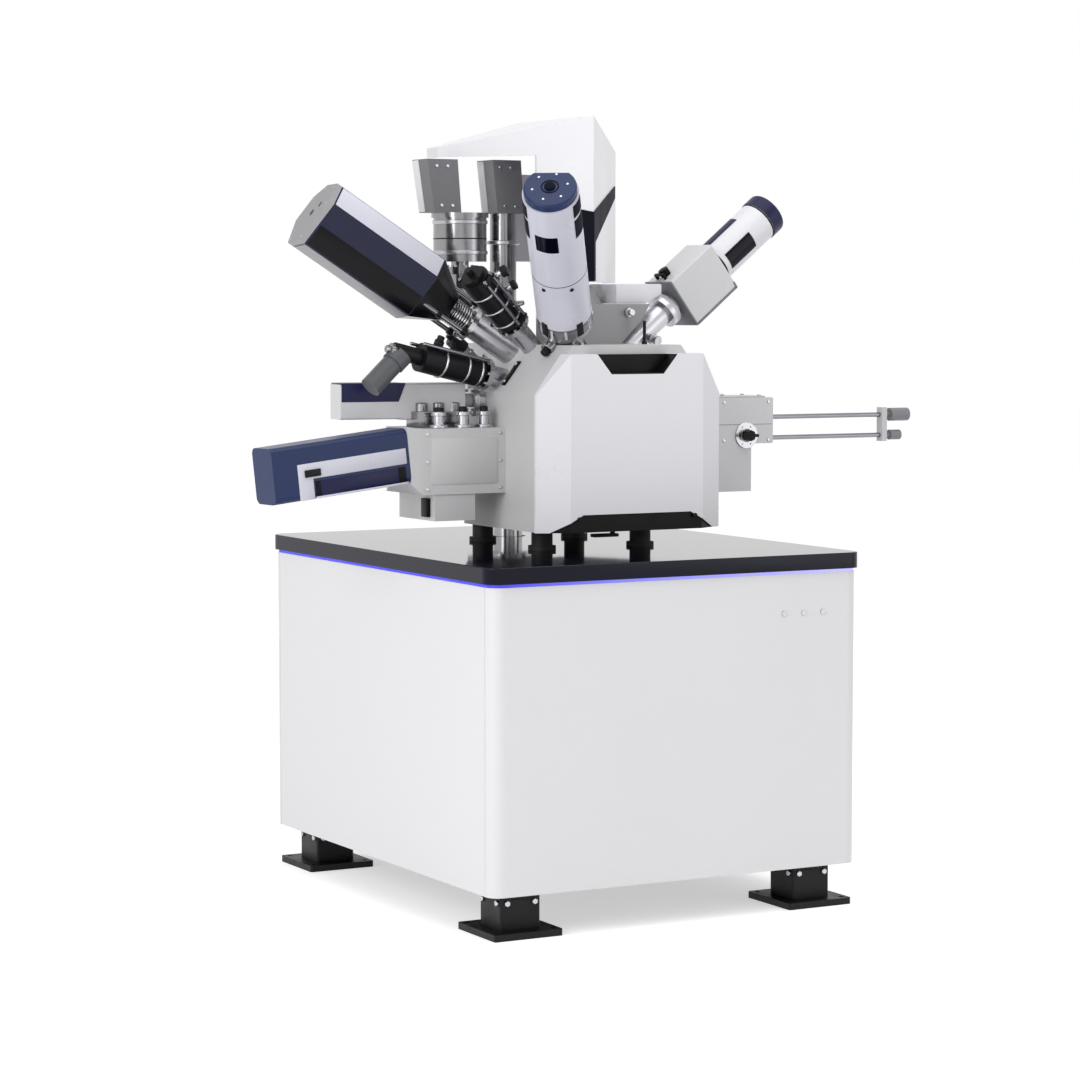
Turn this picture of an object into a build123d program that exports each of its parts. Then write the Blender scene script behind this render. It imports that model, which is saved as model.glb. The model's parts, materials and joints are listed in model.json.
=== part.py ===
from build123d import *
import os
from math import cos, hypot, radians, sin

# Dual-beam scanning electron microscope on a cabinet.
# Millimetres, +X right, +Y back, +Z up. The origin is on the floor, at the centre of the four feet.

os.makedirs("parts", exist_ok=True)

# Running clearances
fit = 0.05
slide_gap = 0.4
soft_gap = 0.3

# Cabinet
cabinet_width = 1000
cabinet_depth = 1213
cabinet_foot_height = 102
cabinet_wall_top = 812
cabinet_corner = 32
panel_thickness = 4
panel_seam = 1.5
panel_return = 34
frame_tube = 40
frame_setback = 30
post_inset = 10
brace_x = 150
foot_pad = 8
foot_pad_margin = 30
strip_height = 8
strip_inset = 2
strip_width = 12
slab_thickness = 38
slab_overhang = 8
slab_edge = 2.5
slab_pad = 24
slab_pad_margin = 100
louvre_count = 14
louvre_length = 320
louvre_height = 7
louvre_pitch = 18
louvre_bottom = 220

# Feet
foot_x = 400
foot_y = 505
foot_plate_x = 178
foot_plate_y = 188
foot_plate_thickness = 16
foot_block = 104
foot_neck = 92
foot_neck_height = 12
foot_corner = 6
anchor_radius = 7
anchor_reach_x = 72
anchor_reach_y = 76

# Push buttons on the front panel
button_xs = (286, 341, 396)
button_height = 718
button_radius = 7
button_length = 9
button_proud = 2.5
button_clearance = 0.15
button_edge = 0.8

# Electronics
module_width = 440
module_depth = 520
module_height = 132
module_gap = 18
module_count = 3
module_y = -180
module_spacer = 12
handle_inset = 20
handle_size = (8, 24, 70)

# Chamber, with the beam axis at x = 0
beam_y = -90
sample_z = 1224
chamber_half_width = 240
chamber_front = -352
chamber_side_back = 34
chamber_back = 190
chamber_back_half_width = 150
chamber_floor = 912
chamber_top = 1355
chamber_shoulder_z = 1240
chamber_roof_half_width = 150
chamber_wall = 42
chamber_edge = 3
cavity_side_step = 12
cavity_corner_step = 6
cavity_back_step = 16
cavity_shoulder_step = 18
cavity_roof_step = 24
duct_half_width = 78
duct_back = 330
duct_top = 1072
duct_wall = 14

# Isolators and vacuum pump
isolator_radius = 26
isolator_cap_radius = 34
isolator_cap = 10
isolator_front = (138, -180)
isolator_back = (132, 142)
pump_y = 255
pump_leg = (48, 40, 9)
neck_radius = 37
neck_bore = 31
neck_flange_radius = 56
neck_flange_thickness = 12
neck_bottom = 770
neck_room = 8
turbo_radius = 84
turbo_height = 210
turbo_wall = 8
turbo_floor = 20
turbo_base = (66, 60)
turbo_bearing_top = 70
rotor_radius = 66
rotor_shaft = 10
rotor_discs = 7
rotor_disc = 5
rotor_lift = 1
rotor_disc_start = 80

# Door and its cover
door_plate_thickness = 14
door_half_width = 230
door_bottom = 918
door_top = 1326
door_corner_drop = 6
door_top_half_width = 170
seal_inset = 12
seal_depth = 4
seal_width = 7
cover_front = -404
cover_bevel_back = -362
cover_flat_half_width = 182
cover_half_width = 253
cover_bottom = 913
cover_corner_z = 1239
cover_top = 1335
cover_wall = 5
cover_boss_radius = 7
cover_bosses = ((-165, 965), (165, 965), (-165, 1200), (165, 1200))
grip_top_half_width = 112
grip_bottom_half_width = 72
grip_depth_z = 48
grip_wall = 3
skirt_top_half_width = 148
skirt_bottom_half_width = 226
skirt_height = 42
skirt_setback = 5
guide_rod_radius = 9
guide_rod_x = 217
guide_rod_z = 934
guide_rod_length = 372

# Specimen stage, carried by the door
stage_base_half_width = 150
stage_base_back = 40
stage_base_bottom = 966
stage_base_thickness = 16
stage_front_plate = 14
stage_front_top = 1080
stage_gusset = (12, 82, 10)
stage_rail = 10
stage_rail_half_length = 150
stage_rail_gap = 70
cross_rail_gap = 52
stage_y_half = (118, 100)
stage_x_half = (92, 82)
slide_plate = 16
lift_sleeve_radius = 40
lift_sleeve_height = 46
lift_post_radius = 27
lift_post_drop = 45
lift_floor = 4
lift_block_half = (62, 34)
lift_block_bottom = 1092
lift_block_height = 40
yoke_inner = 50
yoke_thickness = 10
yoke_half_depth = 15
tilt_axis_turn = -34.9
tilt_pin_radius = 5
yoke_overtop = 10
cradle_cheek = 6
cradle_overtop = 8
cradle_ledge = 10
cradle_half_depth = 13
cradle_floor_drop = 46
cradle_floor = 7
turntable_radius = 28
turntable_drop = 37
turntable_thickness = 15
turntable_shaft = 8
stub_hole = 3.2
stub_hole_floor = 3
stub_pin = 3
stub_post = 8
stub_radius = 12.5
stub_disc = 4

# Electron column
lens_tip_radius = 8
lens_tip_gap = 12
lens_cone_z = 1302
lens_cone_radius = 43
lens_neck_z = 1313
lens_radius = 58
lens_block_left = -50
lens_block_right_low = 77
lens_block_right_mid = 136
lens_block_right_top = 159
lens_block_mid_z = 1414
lens_block_top = 1453
lens_block_front = -190
lens_block_back = 12
lens_cone_low_radius = 70
lens_cone_high_radius = 46
lens_cone_top = 1497
barrel_radius = 38
barrel_top = 1700
barrel_flange = 12
beam_bore = 6
condenser_radius = 50
condenser_z = (1552, 1620)
condenser_taper = 12
gun_radius = 52
gun_top = 1862
gun_wall = 10
gun_crown = (20, 14)

# Housing over the electron column
prow_front = -189
prow_half_width = 255
prow_back = 147
housing_back = 205
housing_bottom = 1506
housing_peak = 1909
housing_slope = 0.27
housing_wall = 5
canopy_z = 1816
canopy_start = 0.36
hanger_half = 14
hanger_gap = 1
trim_thickness = 2.5
trim_stem = 16
trim_split_z = 1604
trim_notch_z = 1676
trim_right = (243, 1722, 1752)
trim_left = (-88, 1670, 1703)

# Ports that aim at the sample: turn from +X seen from above, and rise, in degrees
ion_aim = (-124.9, 42)
eds_aim = (175, 33.2)
gas_aim = (-158.5, 38)
side_aim = (-175, 13)
rear_aim = (173, 0)
rear_drop = 5
camera_aim = (-175, -6.26)
camera_drop = 75
manipulator_aim = (4, 38)

# Rods that slide in the ports
eds_tube_radius = 24
gas_rod_radius = 16
side_rod_radius = 15
rear_rod_radius = 17
camera_rod_radius = 26
manipulator_rod_radius = 12

# Port tubes: outer radius, inner end, outer face of the flange
flange_lip = 14
flange_thickness = 13
port_bore_from = 110
eds_port = (32, 178, 342)
gas_port = (25, 190, 298)
side_port = (25, 185, 276)
rear_port = (25, 205, 274)
manipulator_port = (30, 160, 348)

# Ion column
ion_port_radius = 40
ion_flange = (272, 286, 64)
ion_tip = 25
ion_tip_radius = 5
ion_tube_radius = 24
ion_tube_from = 90
ion_shoulder = (180, 190)
ion_bore_from = 60
ion_core_radius = 50
ion_cover_radius = 66
ion_cover_wall = 4
ion_cover_top = 722
ion_cover_crown = 6
ion_cover_step = 8
ion_core_gap = 30
ion_post_radius = 22
ion_flat = 47
ion_cap_thickness = 20
ion_cap_radius = 62
ion_cap_edge = 5
window_size = 40
window_corner = 3
window_depth = 2
window_t = (590, 636)

# Large spectrometer
eds_outline = ((-40, -85), (36, -79), (78, 29), (60, 80), (-8, 78), (-58, 45), (-82, -20))
eds_start = 486
eds_neck_start = 400
eds_neck_half = 36
eds_neck_corner = 12
eds_seat = 60
eds_end = 800
eds_cap = 14
eds_cap_hole = 9
eds_tip = 74
eds_tip_radius = 11
eds_tip_taper = (160, 184)

# Gas injector and side detector
gas_radius = 36
gas_body = (306, 473)
gas_needle_radius = 1.5
gas_needle_tip = 46
gas_nozzle = (7, 140, 200)
gas_end = (28, 12, 9, 18)
side_radius = 35
side_body = (284, 457)
side_neck_end = 530
side_neck_radius = 20
side_nozzle = (8, 135, 200)
motor_radius = 26
motor_length = 122
motor_drop = 42
motor_start = 6
motor_collar = (3, 38)

# Rear retractable detector
rear_box = (300, 462)
rear_half = (40, 44)
rear_body_end = 616
rear_corner = 5
rear_nozzle = (8, 150, 210)
rod_lap = 5

# Getter pump
getter_xy = (-222, 90)
getter_radius = 66
getter_bottom = 1557
getter_top = 1677
getter_neck_radius = 22
getter_rim = (5, 12)
getter_elbow_z = 1486
manifold_xy = (-101, 90)
manifold_radius = 33
manifold_join_z = 1402
manifold_seat = (46, 14)
getter_flange_radius = 40
getter_flange_z = 1526
getter_flange = 18
arm_flange_from = 74
magnet_left = ((-313, 1677), (-239, 1677), (-249, 1807), (-332, 1807))
magnet_right = ((-138, 1677), (-64, 1677), (-73, 1808), (-152, 1808))
magnet_y = (48, 132)

# Left port box and camera detector
port_box_outer = -463
port_box_front = -185
port_box_back = 14
port_box_z = (1000, 1157)
port_box_wall = 12
port_low_box = (-430, -322, 936)
port_low_inset = 4
taper_half = (49, 69)
camera_start = 506
camera_end = 874
camera_half = (46, 66)
camera_corner = 16
camera_shoulder = 200
camera_nozzle_radius = 18
camera_tip = 170
camera_room = 6

# Micromanipulator
adapter_thickness = 10
adapter_neck_radius = 28
manipulator_case = (374, 528)
manipulator_half = (55, 66)
manipulator_corner = 6
manipulator_radius = 53
manipulator_cap_from = 714
manipulator_end = 753
manipulator_cap_radius = 55
manipulator_cap_edge = 8
manipulator_needle = ((0, 62), (2, 74), (2, 120), (7, 126), (7, 180))
manipulator_shoulder = 190

# Load lock
lock_end = 546
lock_half_width = 60
lock_z = (1101, 1217)
lock_low_end = 481
lock_low_z = 981
lock_wall = 13
lock_edge = 4
lock_sill = 10
passage_radius = 27
passage_z = 1165
gate_x = (254, 262)
gate_half_width = 38
gate_z = (1006, 1092)
gate_top = 1208
gate_wall = 30
rod_radius = 6
guide_z = 1112
rod_end = 930
rod_tip = 318
guide_tip = 536
bracket_thickness = 16
bracket_half = 12
bracket_z = (1096, 1184)
upper_knob = (17, 70)
lower_knob = (13, 46)
knob_neck = (7, 14)
valve_x = 466
valve_z = 1122
valve_radius = 14
valve_length = 24
valve_stem = 5
valve_seat_depth = 11
valve_stem_depth = 10

# Flange bolts
bolt_head_radius = 4
bolt_head = 5
bolt_shank = 2.4
bolt_count = 8
bolt_inset = 6.5

slab_bottom = cabinet_wall_top + strip_height
slab_top = slab_bottom + slab_thickness
door_back = chamber_front - soft_gap
door_face = door_back - door_plate_thickness
sample = Vector(0, beam_y, sample_z)


def aimed(aim, drop=0):
    """A plane at the sample, its normal pointing out along the port, x to the port's side and y up."""
    turn, rise = radians(aim[0]), radians(aim[1])
    out = Vector(cos(rise) * cos(turn), cos(rise) * sin(turn), sin(rise))
    side = Vector(-sin(turn), cos(turn), 0)
    return Plane(origin=sample - Vector(0, 0, drop), x_dir=side, z_dir=out)


def rod(place, radius, start, end, mode=Mode.ADD):
    """A round bar along the plane's normal."""
    with BuildSketch(place.offset(start)) as section:
        Circle(radius)
    extrude(section.sketch, amount=end - start, mode=mode)


def turned(place, points, mode=Mode.ADD):
    """A turned form: points are (radius, distance along the plane's normal)."""
    with BuildSketch(Plane(origin=place.origin, x_dir=place.x_dir, z_dir=-place.y_dir)) as section:
        Polygon(*points, align=None)
    revolve(section.sketch, axis=Axis(place.origin, place.z_dir), mode=mode)


def bar(place, half_x, half_y, start, end, corner=0, mode=Mode.ADD):
    """A rectangular bar along the plane's normal."""
    with BuildSketch(place.offset(start)) as section:
        if corner:
            RectangleRounded(2 * half_x, 2 * half_y, corner)
        else:
            Rectangle(2 * half_x, 2 * half_y)
    extrude(section.sketch, amount=end - start, mode=mode)


def prism(place, points, start, end, mode=Mode.ADD):
    """A straight prism along the plane's normal."""
    with BuildSketch(place.offset(start)) as section:
        Polygon(*points, align=None)
    extrude(section.sketch, amount=end - start, mode=mode)


def block(x_range, y_range, z_range, mode=Mode.ADD):
    """A box given by its limits."""
    sizes = [limits[1] - limits[0] for limits in (x_range, y_range, z_range)]
    centre = [sum(limits) / 2 for limits in (x_range, y_range, z_range)]
    with Locations(tuple(centre)):
        Box(*sizes, mode=mode)


def upright(x, y):
    """A plane on the floor at this spot, its normal up."""
    return Plane(origin=(x, y, 0), x_dir=(1, 0, 0), z_dir=(0, 0, 1))


def both_sides(limit, thickness):
    """The two spans of this thickness that end at plus and minus the limit."""
    return ((-limit, -limit + thickness), (limit - thickness, limit))


def bolt_shanks(place, circle, face, grip, room=0, mode=Mode.ADD):
    """A ring of shanks, or of the holes for them, below a flange's face."""
    with BuildSketch(place.offset(face - grip)) as section:
        with PolarLocations(circle, bolt_count):
            Circle(bolt_shank + room)
    extrude(section.sketch, amount=grip, mode=mode)


def bolt_heads(place, circle, face):
    """A ring of hexagon heads on a flange's face."""
    with BuildSketch(place.offset(face)) as section:
        with PolarLocations(circle, bolt_count):
            RegularPolygon(bolt_head_radius, 6)
    extrude(section.sketch, amount=bolt_head)


def mirrored(points):
    """An outline that is the same left and right, from its right half."""
    return list(points) + [(-x, y) for x, y in reversed(points) if x]


def finish(part, name):
    part.label = name
    export_step(part, f"parts/{name}.step")


beam = upright(0, beam_y)
ion_axis = aimed(ion_aim)
eds_axis = aimed(eds_aim)
gas_axis = aimed(gas_aim)
side_axis = aimed(side_aim)
rear_axis = aimed(rear_aim, rear_drop)
camera_axis = aimed(camera_aim, camera_drop)
manipulator_axis = aimed(manipulator_aim)
front_view = Plane(origin=(0, 0, 0), x_dir=(1, 0, 0), z_dir=(0, -1, 0))
transfer_axis = Plane(origin=(0, beam_y, passage_z), x_dir=(0, 1, 0), z_dir=(1, 0, 0))
guide_axis = Plane(origin=(0, beam_y, guide_z), x_dir=(0, 1, 0), z_dir=(1, 0, 0))

# Feet: a plate with a raised block that the cabinet frame stands on
foot_places = [(x, y) for x in (-foot_x, foot_x) for y in (-foot_y, foot_y)]
with BuildPart() as feet:
    with BuildSketch():
        with Locations(*foot_places):
            RectangleRounded(foot_plate_x, foot_plate_y, foot_corner)
    extrude(amount=foot_plate_thickness)
    with BuildSketch(Plane.XY.offset(foot_plate_thickness)):
        with Locations(*foot_places):
            RectangleRounded(foot_block, foot_block, foot_corner)
    extrude(amount=cabinet_foot_height - foot_neck_height - foot_plate_thickness)
    with BuildSketch(Plane.XY.offset(cabinet_foot_height - foot_neck_height)):
        with Locations(*foot_places):
            RectangleRounded(foot_neck, foot_neck, foot_corner)
    extrude(amount=foot_neck_height)
    with BuildSketch():
        for x, y in foot_places:
            for side_x in (-anchor_reach_x, anchor_reach_x):
                for side_y in (-anchor_reach_y, anchor_reach_y):
                    with Locations((x + side_x, y + side_y)):
                        Circle(anchor_radius)
    extrude(amount=foot_plate_thickness, mode=Mode.SUBTRACT)
finish(feet.part, "feet")

# Cabinet frame of square bar
frame_x = cabinet_width / 2 - panel_thickness
frame_y = cabinet_depth / 2 - panel_thickness
rail_x = frame_x - frame_setback
rail_y = frame_y - frame_setback
post_x = frame_x - frame_tube / 2 - post_inset
post_y = frame_y - frame_tube / 2 - post_inset
post_places = [(x, y) for x in (-post_x, post_x) for y in (-post_y, post_y)]
pump_leg_x, pump_leg_back, pump_leg_radius = pump_leg
module_front = module_y - module_depth / 2
module_back = module_y + module_depth / 2
foot_pad_size = foot_block + 2 * foot_pad_margin
with BuildPart() as cabinet_frame:
    for level in (cabinet_foot_height, cabinet_wall_top - frame_tube):
        rail_z = (level, level + frame_tube)
        for span in both_sides(frame_y, frame_tube):
            block((-rail_x, rail_x), span, rail_z)
        for span in both_sides(frame_x, frame_tube):
            block(span, (-rail_y, rail_y), rail_z)
    with BuildSketch(Plane.XY.offset(cabinet_foot_height)):
        with Locations(*post_places):
            Rectangle(frame_tube, frame_tube)
    extrude(amount=cabinet_wall_top - cabinet_foot_height)
    with BuildSketch(Plane.XY.offset(cabinet_foot_height)):
        with Locations(*foot_places):
            Rectangle(foot_pad_size, foot_pad_size)
    extrude(amount=foot_pad)
    for y in (module_front, module_back, pump_y + pump_leg_back):
        block((-rail_x, rail_x), (y - frame_tube / 2, y + frame_tube / 2),
              (cabinet_foot_height, cabinet_foot_height + frame_tube))
    for x in (-brace_x, brace_x):
        block((x - frame_tube / 2, x + frame_tube / 2), (-rail_y, rail_y),
              (cabinet_wall_top - frame_tube, cabinet_wall_top))
finish(cabinet_frame.part, "cabinet_frame")

# Cabinet walls: one rounded shell, parted into four panels
panel_split = cabinet_depth / 2 - panel_return


def wall_shell():
    """The cabinet's rounded shell, from the feet to the light strip."""
    with BuildSketch(Plane.XY.offset(cabinet_foot_height)) as section:
        RectangleRounded(cabinet_width, cabinet_depth, cabinet_corner)
        RectangleRounded(cabinet_width - 2 * panel_thickness, cabinet_depth - 2 * panel_thickness,
                         cabinet_corner - panel_thickness, mode=Mode.SUBTRACT)
    extrude(section.sketch, amount=cabinet_wall_top - cabinet_foot_height)


with BuildPart() as front_panel:
    wall_shell()
    block((-cabinet_width, cabinet_width), (-cabinet_depth, -panel_split), (0, slab_top), Mode.INTERSECT)
    with BuildSketch(front_view.offset(cabinet_depth / 2)):
        with Locations(*[(x, button_height) for x in button_xs]):
            Circle(button_radius + button_clearance)
    extrude(amount=-2 * panel_thickness, mode=Mode.SUBTRACT)
finish(front_panel.part, "front_panel")

for name, x_range in (("left_panel", (-cabinet_width, 0)), ("right_panel", (0, cabinet_width))):
    with BuildPart() as side_panel:
        wall_shell()
        block(x_range, (-panel_split + panel_seam, panel_split - panel_seam), (0, slab_top), Mode.INTERSECT)
    finish(side_panel.part, name)

with BuildPart() as rear_panel:
    wall_shell()
    block((-cabinet_width, cabinet_width), (panel_split, cabinet_depth), (0, slab_top), Mode.INTERSECT)
    for row in range(louvre_count):
        z = louvre_bottom + row * louvre_pitch
        block((-louvre_length / 2, louvre_length / 2), (panel_split, cabinet_depth),
              (z, z + louvre_height), Mode.SUBTRACT)
finish(rear_panel.part, "rear_panel")

with BuildPart() as light_strip:
    with BuildSketch(Plane.XY.offset(cabinet_wall_top)):
        RectangleRounded(cabinet_width - 2 * strip_inset, cabinet_depth - 2 * strip_inset,
                         cabinet_corner - strip_inset)
        RectangleRounded(cabinet_width - 2 * strip_inset - 2 * strip_width,
                         cabinet_depth - 2 * strip_inset - 2 * strip_width,
                         cabinet_corner - strip_inset - strip_width, mode=Mode.SUBTRACT)
    extrude(amount=strip_height)
finish(light_strip.part, "light_strip")

with BuildPart() as table_slab:
    with BuildSketch(Plane.XY.offset(slab_bottom)):
        RectangleRounded(cabinet_width + 2 * slab_overhang, cabinet_depth + 2 * slab_overhang,
                         cabinet_corner + slab_overhang)
        with Locations((0, pump_y)):
            Circle(neck_radius + neck_room, mode=Mode.SUBTRACT)
    extrude(amount=slab_thickness)
    fillet(table_slab.faces().sort_by(Axis.Z)[-1].outer_wire().edges(), slab_edge)
    with BuildSketch(Plane.XY.offset(slab_bottom - strip_height)):
        for side in (-1, 1):
            with Locations((0, side * (frame_y - frame_tube + slab_pad / 2))):
                Rectangle(cabinet_width - 2 * slab_pad_margin, slab_pad)
        with Locations((-brace_x, 0), (brace_x, 0)):
            Rectangle(slab_pad, cabinet_depth - 2 * slab_pad_margin)
    extrude(amount=strip_height)
finish(table_slab.part, "table_slab")

# Push buttons
button_front = -cabinet_depth / 2 - button_proud
for number, x in enumerate(button_xs, start=1):
    with BuildPart() as button:
        with BuildSketch(front_view.offset(-button_front)):
            with Locations((x, button_height)):
                Circle(button_radius)
        extrude(amount=-button_length)
        fillet(button.faces().sort_by(Axis.Y)[0].edges(), button_edge)
    finish(button.part, f"button_{number}")

# Electronics modules on the frame's lower rails
module_bottom = cabinet_foot_height + frame_tube
module_half = module_width / 2
with BuildPart() as rack_modules:
    for level in range(module_count):
        bottom = module_bottom + level * (module_height + module_gap)
        block((-module_half, module_half), (module_front, module_back), (bottom, bottom + module_height))
        if level:
            for span in both_sides(module_half - module_spacer / 2, module_spacer):
                block(span, (module_front + module_spacer, module_back - module_spacer),
                      (bottom - module_gap, bottom))
        for x in (-module_half + handle_inset, module_half - handle_inset):
            with Locations((x, module_front - handle_size[1] / 2, bottom + module_height / 2)):
                Box(*handle_size)
finish(rack_modules.part, "rack_modules")

# Vacuum pump under the slab, and the neck that joins it to the chamber
pump_axis = upright(0, pump_y)
turbo_bottom = neck_bottom - turbo_height
shaft_bore = rotor_shaft + fit
with BuildPart() as pump_neck:
    turned(pump_axis, (
        (neck_bore, neck_bottom), (neck_flange_radius, neck_bottom),
        (neck_flange_radius, neck_bottom + neck_flange_thickness),
        (neck_radius, neck_bottom + neck_flange_thickness),
        (neck_radius, chamber_floor - neck_flange_thickness),
        (neck_flange_radius, chamber_floor - neck_flange_thickness), (neck_flange_radius, chamber_floor),
        (neck_bore, chamber_floor),
    ))
finish(pump_neck.part, "pump_neck")

turbo_bore = turbo_radius - turbo_wall
bearing_top = turbo_bottom + turbo_bearing_top
bearing_bottom = turbo_bottom + turbo_floor
with BuildPart() as turbo_housing:
    turned(pump_axis, (
        (neck_bore, neck_bottom), (neck_bore, neck_bottom - turbo_wall),
        (turbo_bore, neck_bottom - turbo_wall), (turbo_bore, bearing_top), (shaft_bore, bearing_top),
        (shaft_bore, bearing_bottom), (0, bearing_bottom),
        (0, turbo_bottom), (turbo_base[0], turbo_bottom), (turbo_base[0], turbo_bottom + turbo_base[1]),
        (turbo_radius, turbo_bottom + turbo_base[1]), (turbo_radius, neck_bottom),
    ))
    with BuildSketch(Plane.XY.offset(module_bottom)):
        with Locations((-pump_leg_x, pump_y + pump_leg_back), (pump_leg_x, pump_y + pump_leg_back)):
            Circle(pump_leg_radius)
    extrude(amount=turbo_bottom - module_bottom)
finish(turbo_housing.part, "turbo_housing")

rotor_top = neck_bottom - 2 * turbo_wall
disc_bottom = turbo_bottom + rotor_disc_start
disc_pitch = (rotor_top - disc_bottom) / rotor_discs
with BuildPart() as turbo_rotor:
    rod(pump_axis, rotor_shaft, bearing_bottom + rotor_lift, rotor_top)
    for disc in range(rotor_discs):
        low = disc_bottom + disc * disc_pitch
        rod(pump_axis, rotor_radius, low, low + rotor_disc)
finish(turbo_rotor.part, "turbo_rotor")

# Isolators between the slab and the chamber
with BuildPart() as isolators:
    for place in (isolator_front, isolator_back):
        for side in (-1, 1):
            leg = upright(side * place[0], place[1])
            rod(leg, isolator_radius, slab_top, chamber_floor)
            rod(leg, isolator_cap_radius, slab_top, slab_top + isolator_cap)
finish(isolators.part, "isolators")

# Chamber: a faceted casting with a hollow that is open at the front
chamber_plan = mirrored([
    (chamber_half_width, chamber_front), (chamber_half_width, chamber_side_back),
    (chamber_back_half_width, chamber_back),
])
chamber_section = mirrored([
    (chamber_half_width, chamber_floor), (chamber_half_width, chamber_shoulder_z),
    (chamber_roof_half_width, chamber_top),
])
cavity_back = chamber_back - chamber_wall - cavity_back_step
cavity_plan = mirrored([
    (chamber_half_width - chamber_wall, chamber_front - 1),
    (chamber_half_width - chamber_wall, chamber_side_back - cavity_side_step),
    (chamber_back_half_width - chamber_wall + cavity_corner_step, cavity_back),
])
cavity_section = mirrored([
    (chamber_half_width - chamber_wall, chamber_floor + chamber_wall),
    (chamber_half_width - chamber_wall, chamber_shoulder_z - cavity_shoulder_step),
    (chamber_roof_half_width - cavity_roof_step, chamber_top - chamber_wall),
])


def guide_place(side):
    """The plane at the front end of one of the door's guide rods."""
    return Plane(origin=(side * guide_rod_x, door_back, guide_rod_z), x_dir=(1, 0, 0), z_dir=(0, 1, 0))


with BuildPart() as cavity:
    prism(Plane.XY, cavity_plan, chamber_floor, chamber_top)
    prism(front_view, cavity_section, -chamber_back, -chamber_front + 2, Mode.INTERSECT)

with BuildPart() as chamber_body:
    prism(Plane.XY, chamber_plan, chamber_floor, chamber_top)
    prism(front_view, chamber_section, -chamber_back, -chamber_front, Mode.INTERSECT)
    chamfer(chamber_body.faces().sort_by(Axis.Y)[0].edges().filter_by(Axis.Z), chamber_edge)
    block((-duct_half_width, duct_half_width), (chamber_back - 2, duct_back), (chamber_floor, duct_top))
    add(cavity.part, mode=Mode.SUBTRACT)
    block((-duct_half_width + duct_wall, duct_half_width - duct_wall),
          (cavity_back - 1, duct_back - duct_wall),
          (chamber_floor + duct_wall, duct_top - duct_wall), Mode.SUBTRACT)
    rod(pump_axis, neck_bore, chamber_floor - 1, chamber_floor + duct_wall + 1, Mode.SUBTRACT)
    rod(beam, lens_radius + fit, lens_cone_z, chamber_top + 1, Mode.SUBTRACT)
    rod(ion_axis, ion_port_radius + fit, ion_bore_from, ion_flange[1], Mode.SUBTRACT)
    for axis, port in ((eds_axis, eds_port), (gas_axis, gas_port), (side_axis, side_port),
                       (rear_axis, rear_port), (manipulator_axis, manipulator_port)):
        rod(axis, port[0] + fit, port_bore_from, port[2] + flange_lip, Mode.SUBTRACT)
    rod(camera_axis, camera_rod_radius + camera_room, camera_tip, chamber_half_width + chamber_wall,
        Mode.SUBTRACT)
    rod(transfer_axis, passage_radius, chamber_half_width - 2 * chamber_wall, chamber_half_width + 1,
        Mode.SUBTRACT)
    for side in (-1, 1):
        rod(guide_place(side), guide_rod_radius + fit, -1, guide_rod_length + guide_rod_radius, Mode.SUBTRACT)
finish(chamber_body.part, "chamber_body")

# Door: plate, seal, cover, grip, skirt and guide rods
door_outline = mirrored([
    (door_half_width, door_bottom), (door_half_width, chamber_shoulder_z - door_corner_drop),
    (door_top_half_width, door_top),
])


def seal_ring(mode=Mode.ADD):
    """The flat ring that fills the groove round the door plate."""
    with BuildSketch(front_view.offset(-door_back)) as section:
        Polygon(*door_outline, align=None)
        offset(amount=-seal_inset, mode=Mode.REPLACE)
        offset(amount=-seal_width, mode=Mode.SUBTRACT)
    extrude(section.sketch, amount=seal_depth, mode=mode)


with BuildPart() as door_plate:
    prism(front_view, door_outline, -door_back, -door_face)
    seal_ring(Mode.SUBTRACT)
finish(door_plate.part, "door_plate")

with BuildPart() as door_seal:
    seal_ring()
finish(door_seal.part, "door_seal")


def cover_block(inset):
    """The cover's faceted form, each face moved in by the inset."""
    slope_inset = inset * 0.7
    plan = mirrored([
        (cover_half_width - inset, door_back), (cover_half_width - inset, cover_bevel_back + inset * 0.4),
        (cover_flat_half_width - inset * 0.3, cover_front + inset),
    ])
    outline = mirrored([
        (cover_half_width, cover_bottom + inset), (cover_half_width, cover_corner_z - slope_inset),
        (cover_flat_half_width - slope_inset, cover_top - inset),
    ])
    prism(Plane.XY, plan, cover_bottom, cover_top)
    prism(front_view, outline, -door_back - 1, -cover_front + 1, Mode.INTERSECT)


with BuildPart() as cover_hollow:
    cover_block(cover_wall)

grip_outline = mirrored([
    (grip_bottom_half_width, cover_top - grip_depth_z), (grip_top_half_width, cover_top + 1),
])
grip_inner = mirrored([
    (grip_bottom_half_width - grip_wall, cover_top - grip_depth_z + grip_wall),
    (grip_top_half_width - grip_wall, cover_top + 2),
])
skirt_outline = mirrored([
    (skirt_bottom_half_width, cover_bottom), (skirt_top_half_width, cover_bottom + skirt_height),
])
skirt_cut = mirrored([
    (skirt_bottom_half_width + 2, cover_bottom - 1), (skirt_top_half_width, cover_bottom + skirt_height),
])

with BuildPart() as door_cover:
    cover_block(0)
    add(cover_hollow.part, mode=Mode.SUBTRACT)
    prism(front_view, grip_outline, -door_back, -cover_front + 1, Mode.SUBTRACT)
    prism(front_view, skirt_cut, -door_back, -cover_front + 1, Mode.SUBTRACT)
    with BuildSketch(front_view.offset(-door_face)):
        with Locations(*cover_bosses):
            Circle(cover_boss_radius)
    extrude(amount=door_face - cover_front - cover_wall / 2)
finish(door_cover.part, "door_cover")

with BuildPart() as door_grip:
    prism(front_view, grip_outline, -door_face, -cover_front - 1)
    prism(front_view, grip_inner, -door_face + grip_wall, -cover_front, Mode.SUBTRACT)
    block((-cover_half_width, cover_half_width), (cover_front, door_back), (cover_top - 1, cover_top + 1),
          Mode.SUBTRACT)
finish(door_grip.part, "door_grip")

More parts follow.
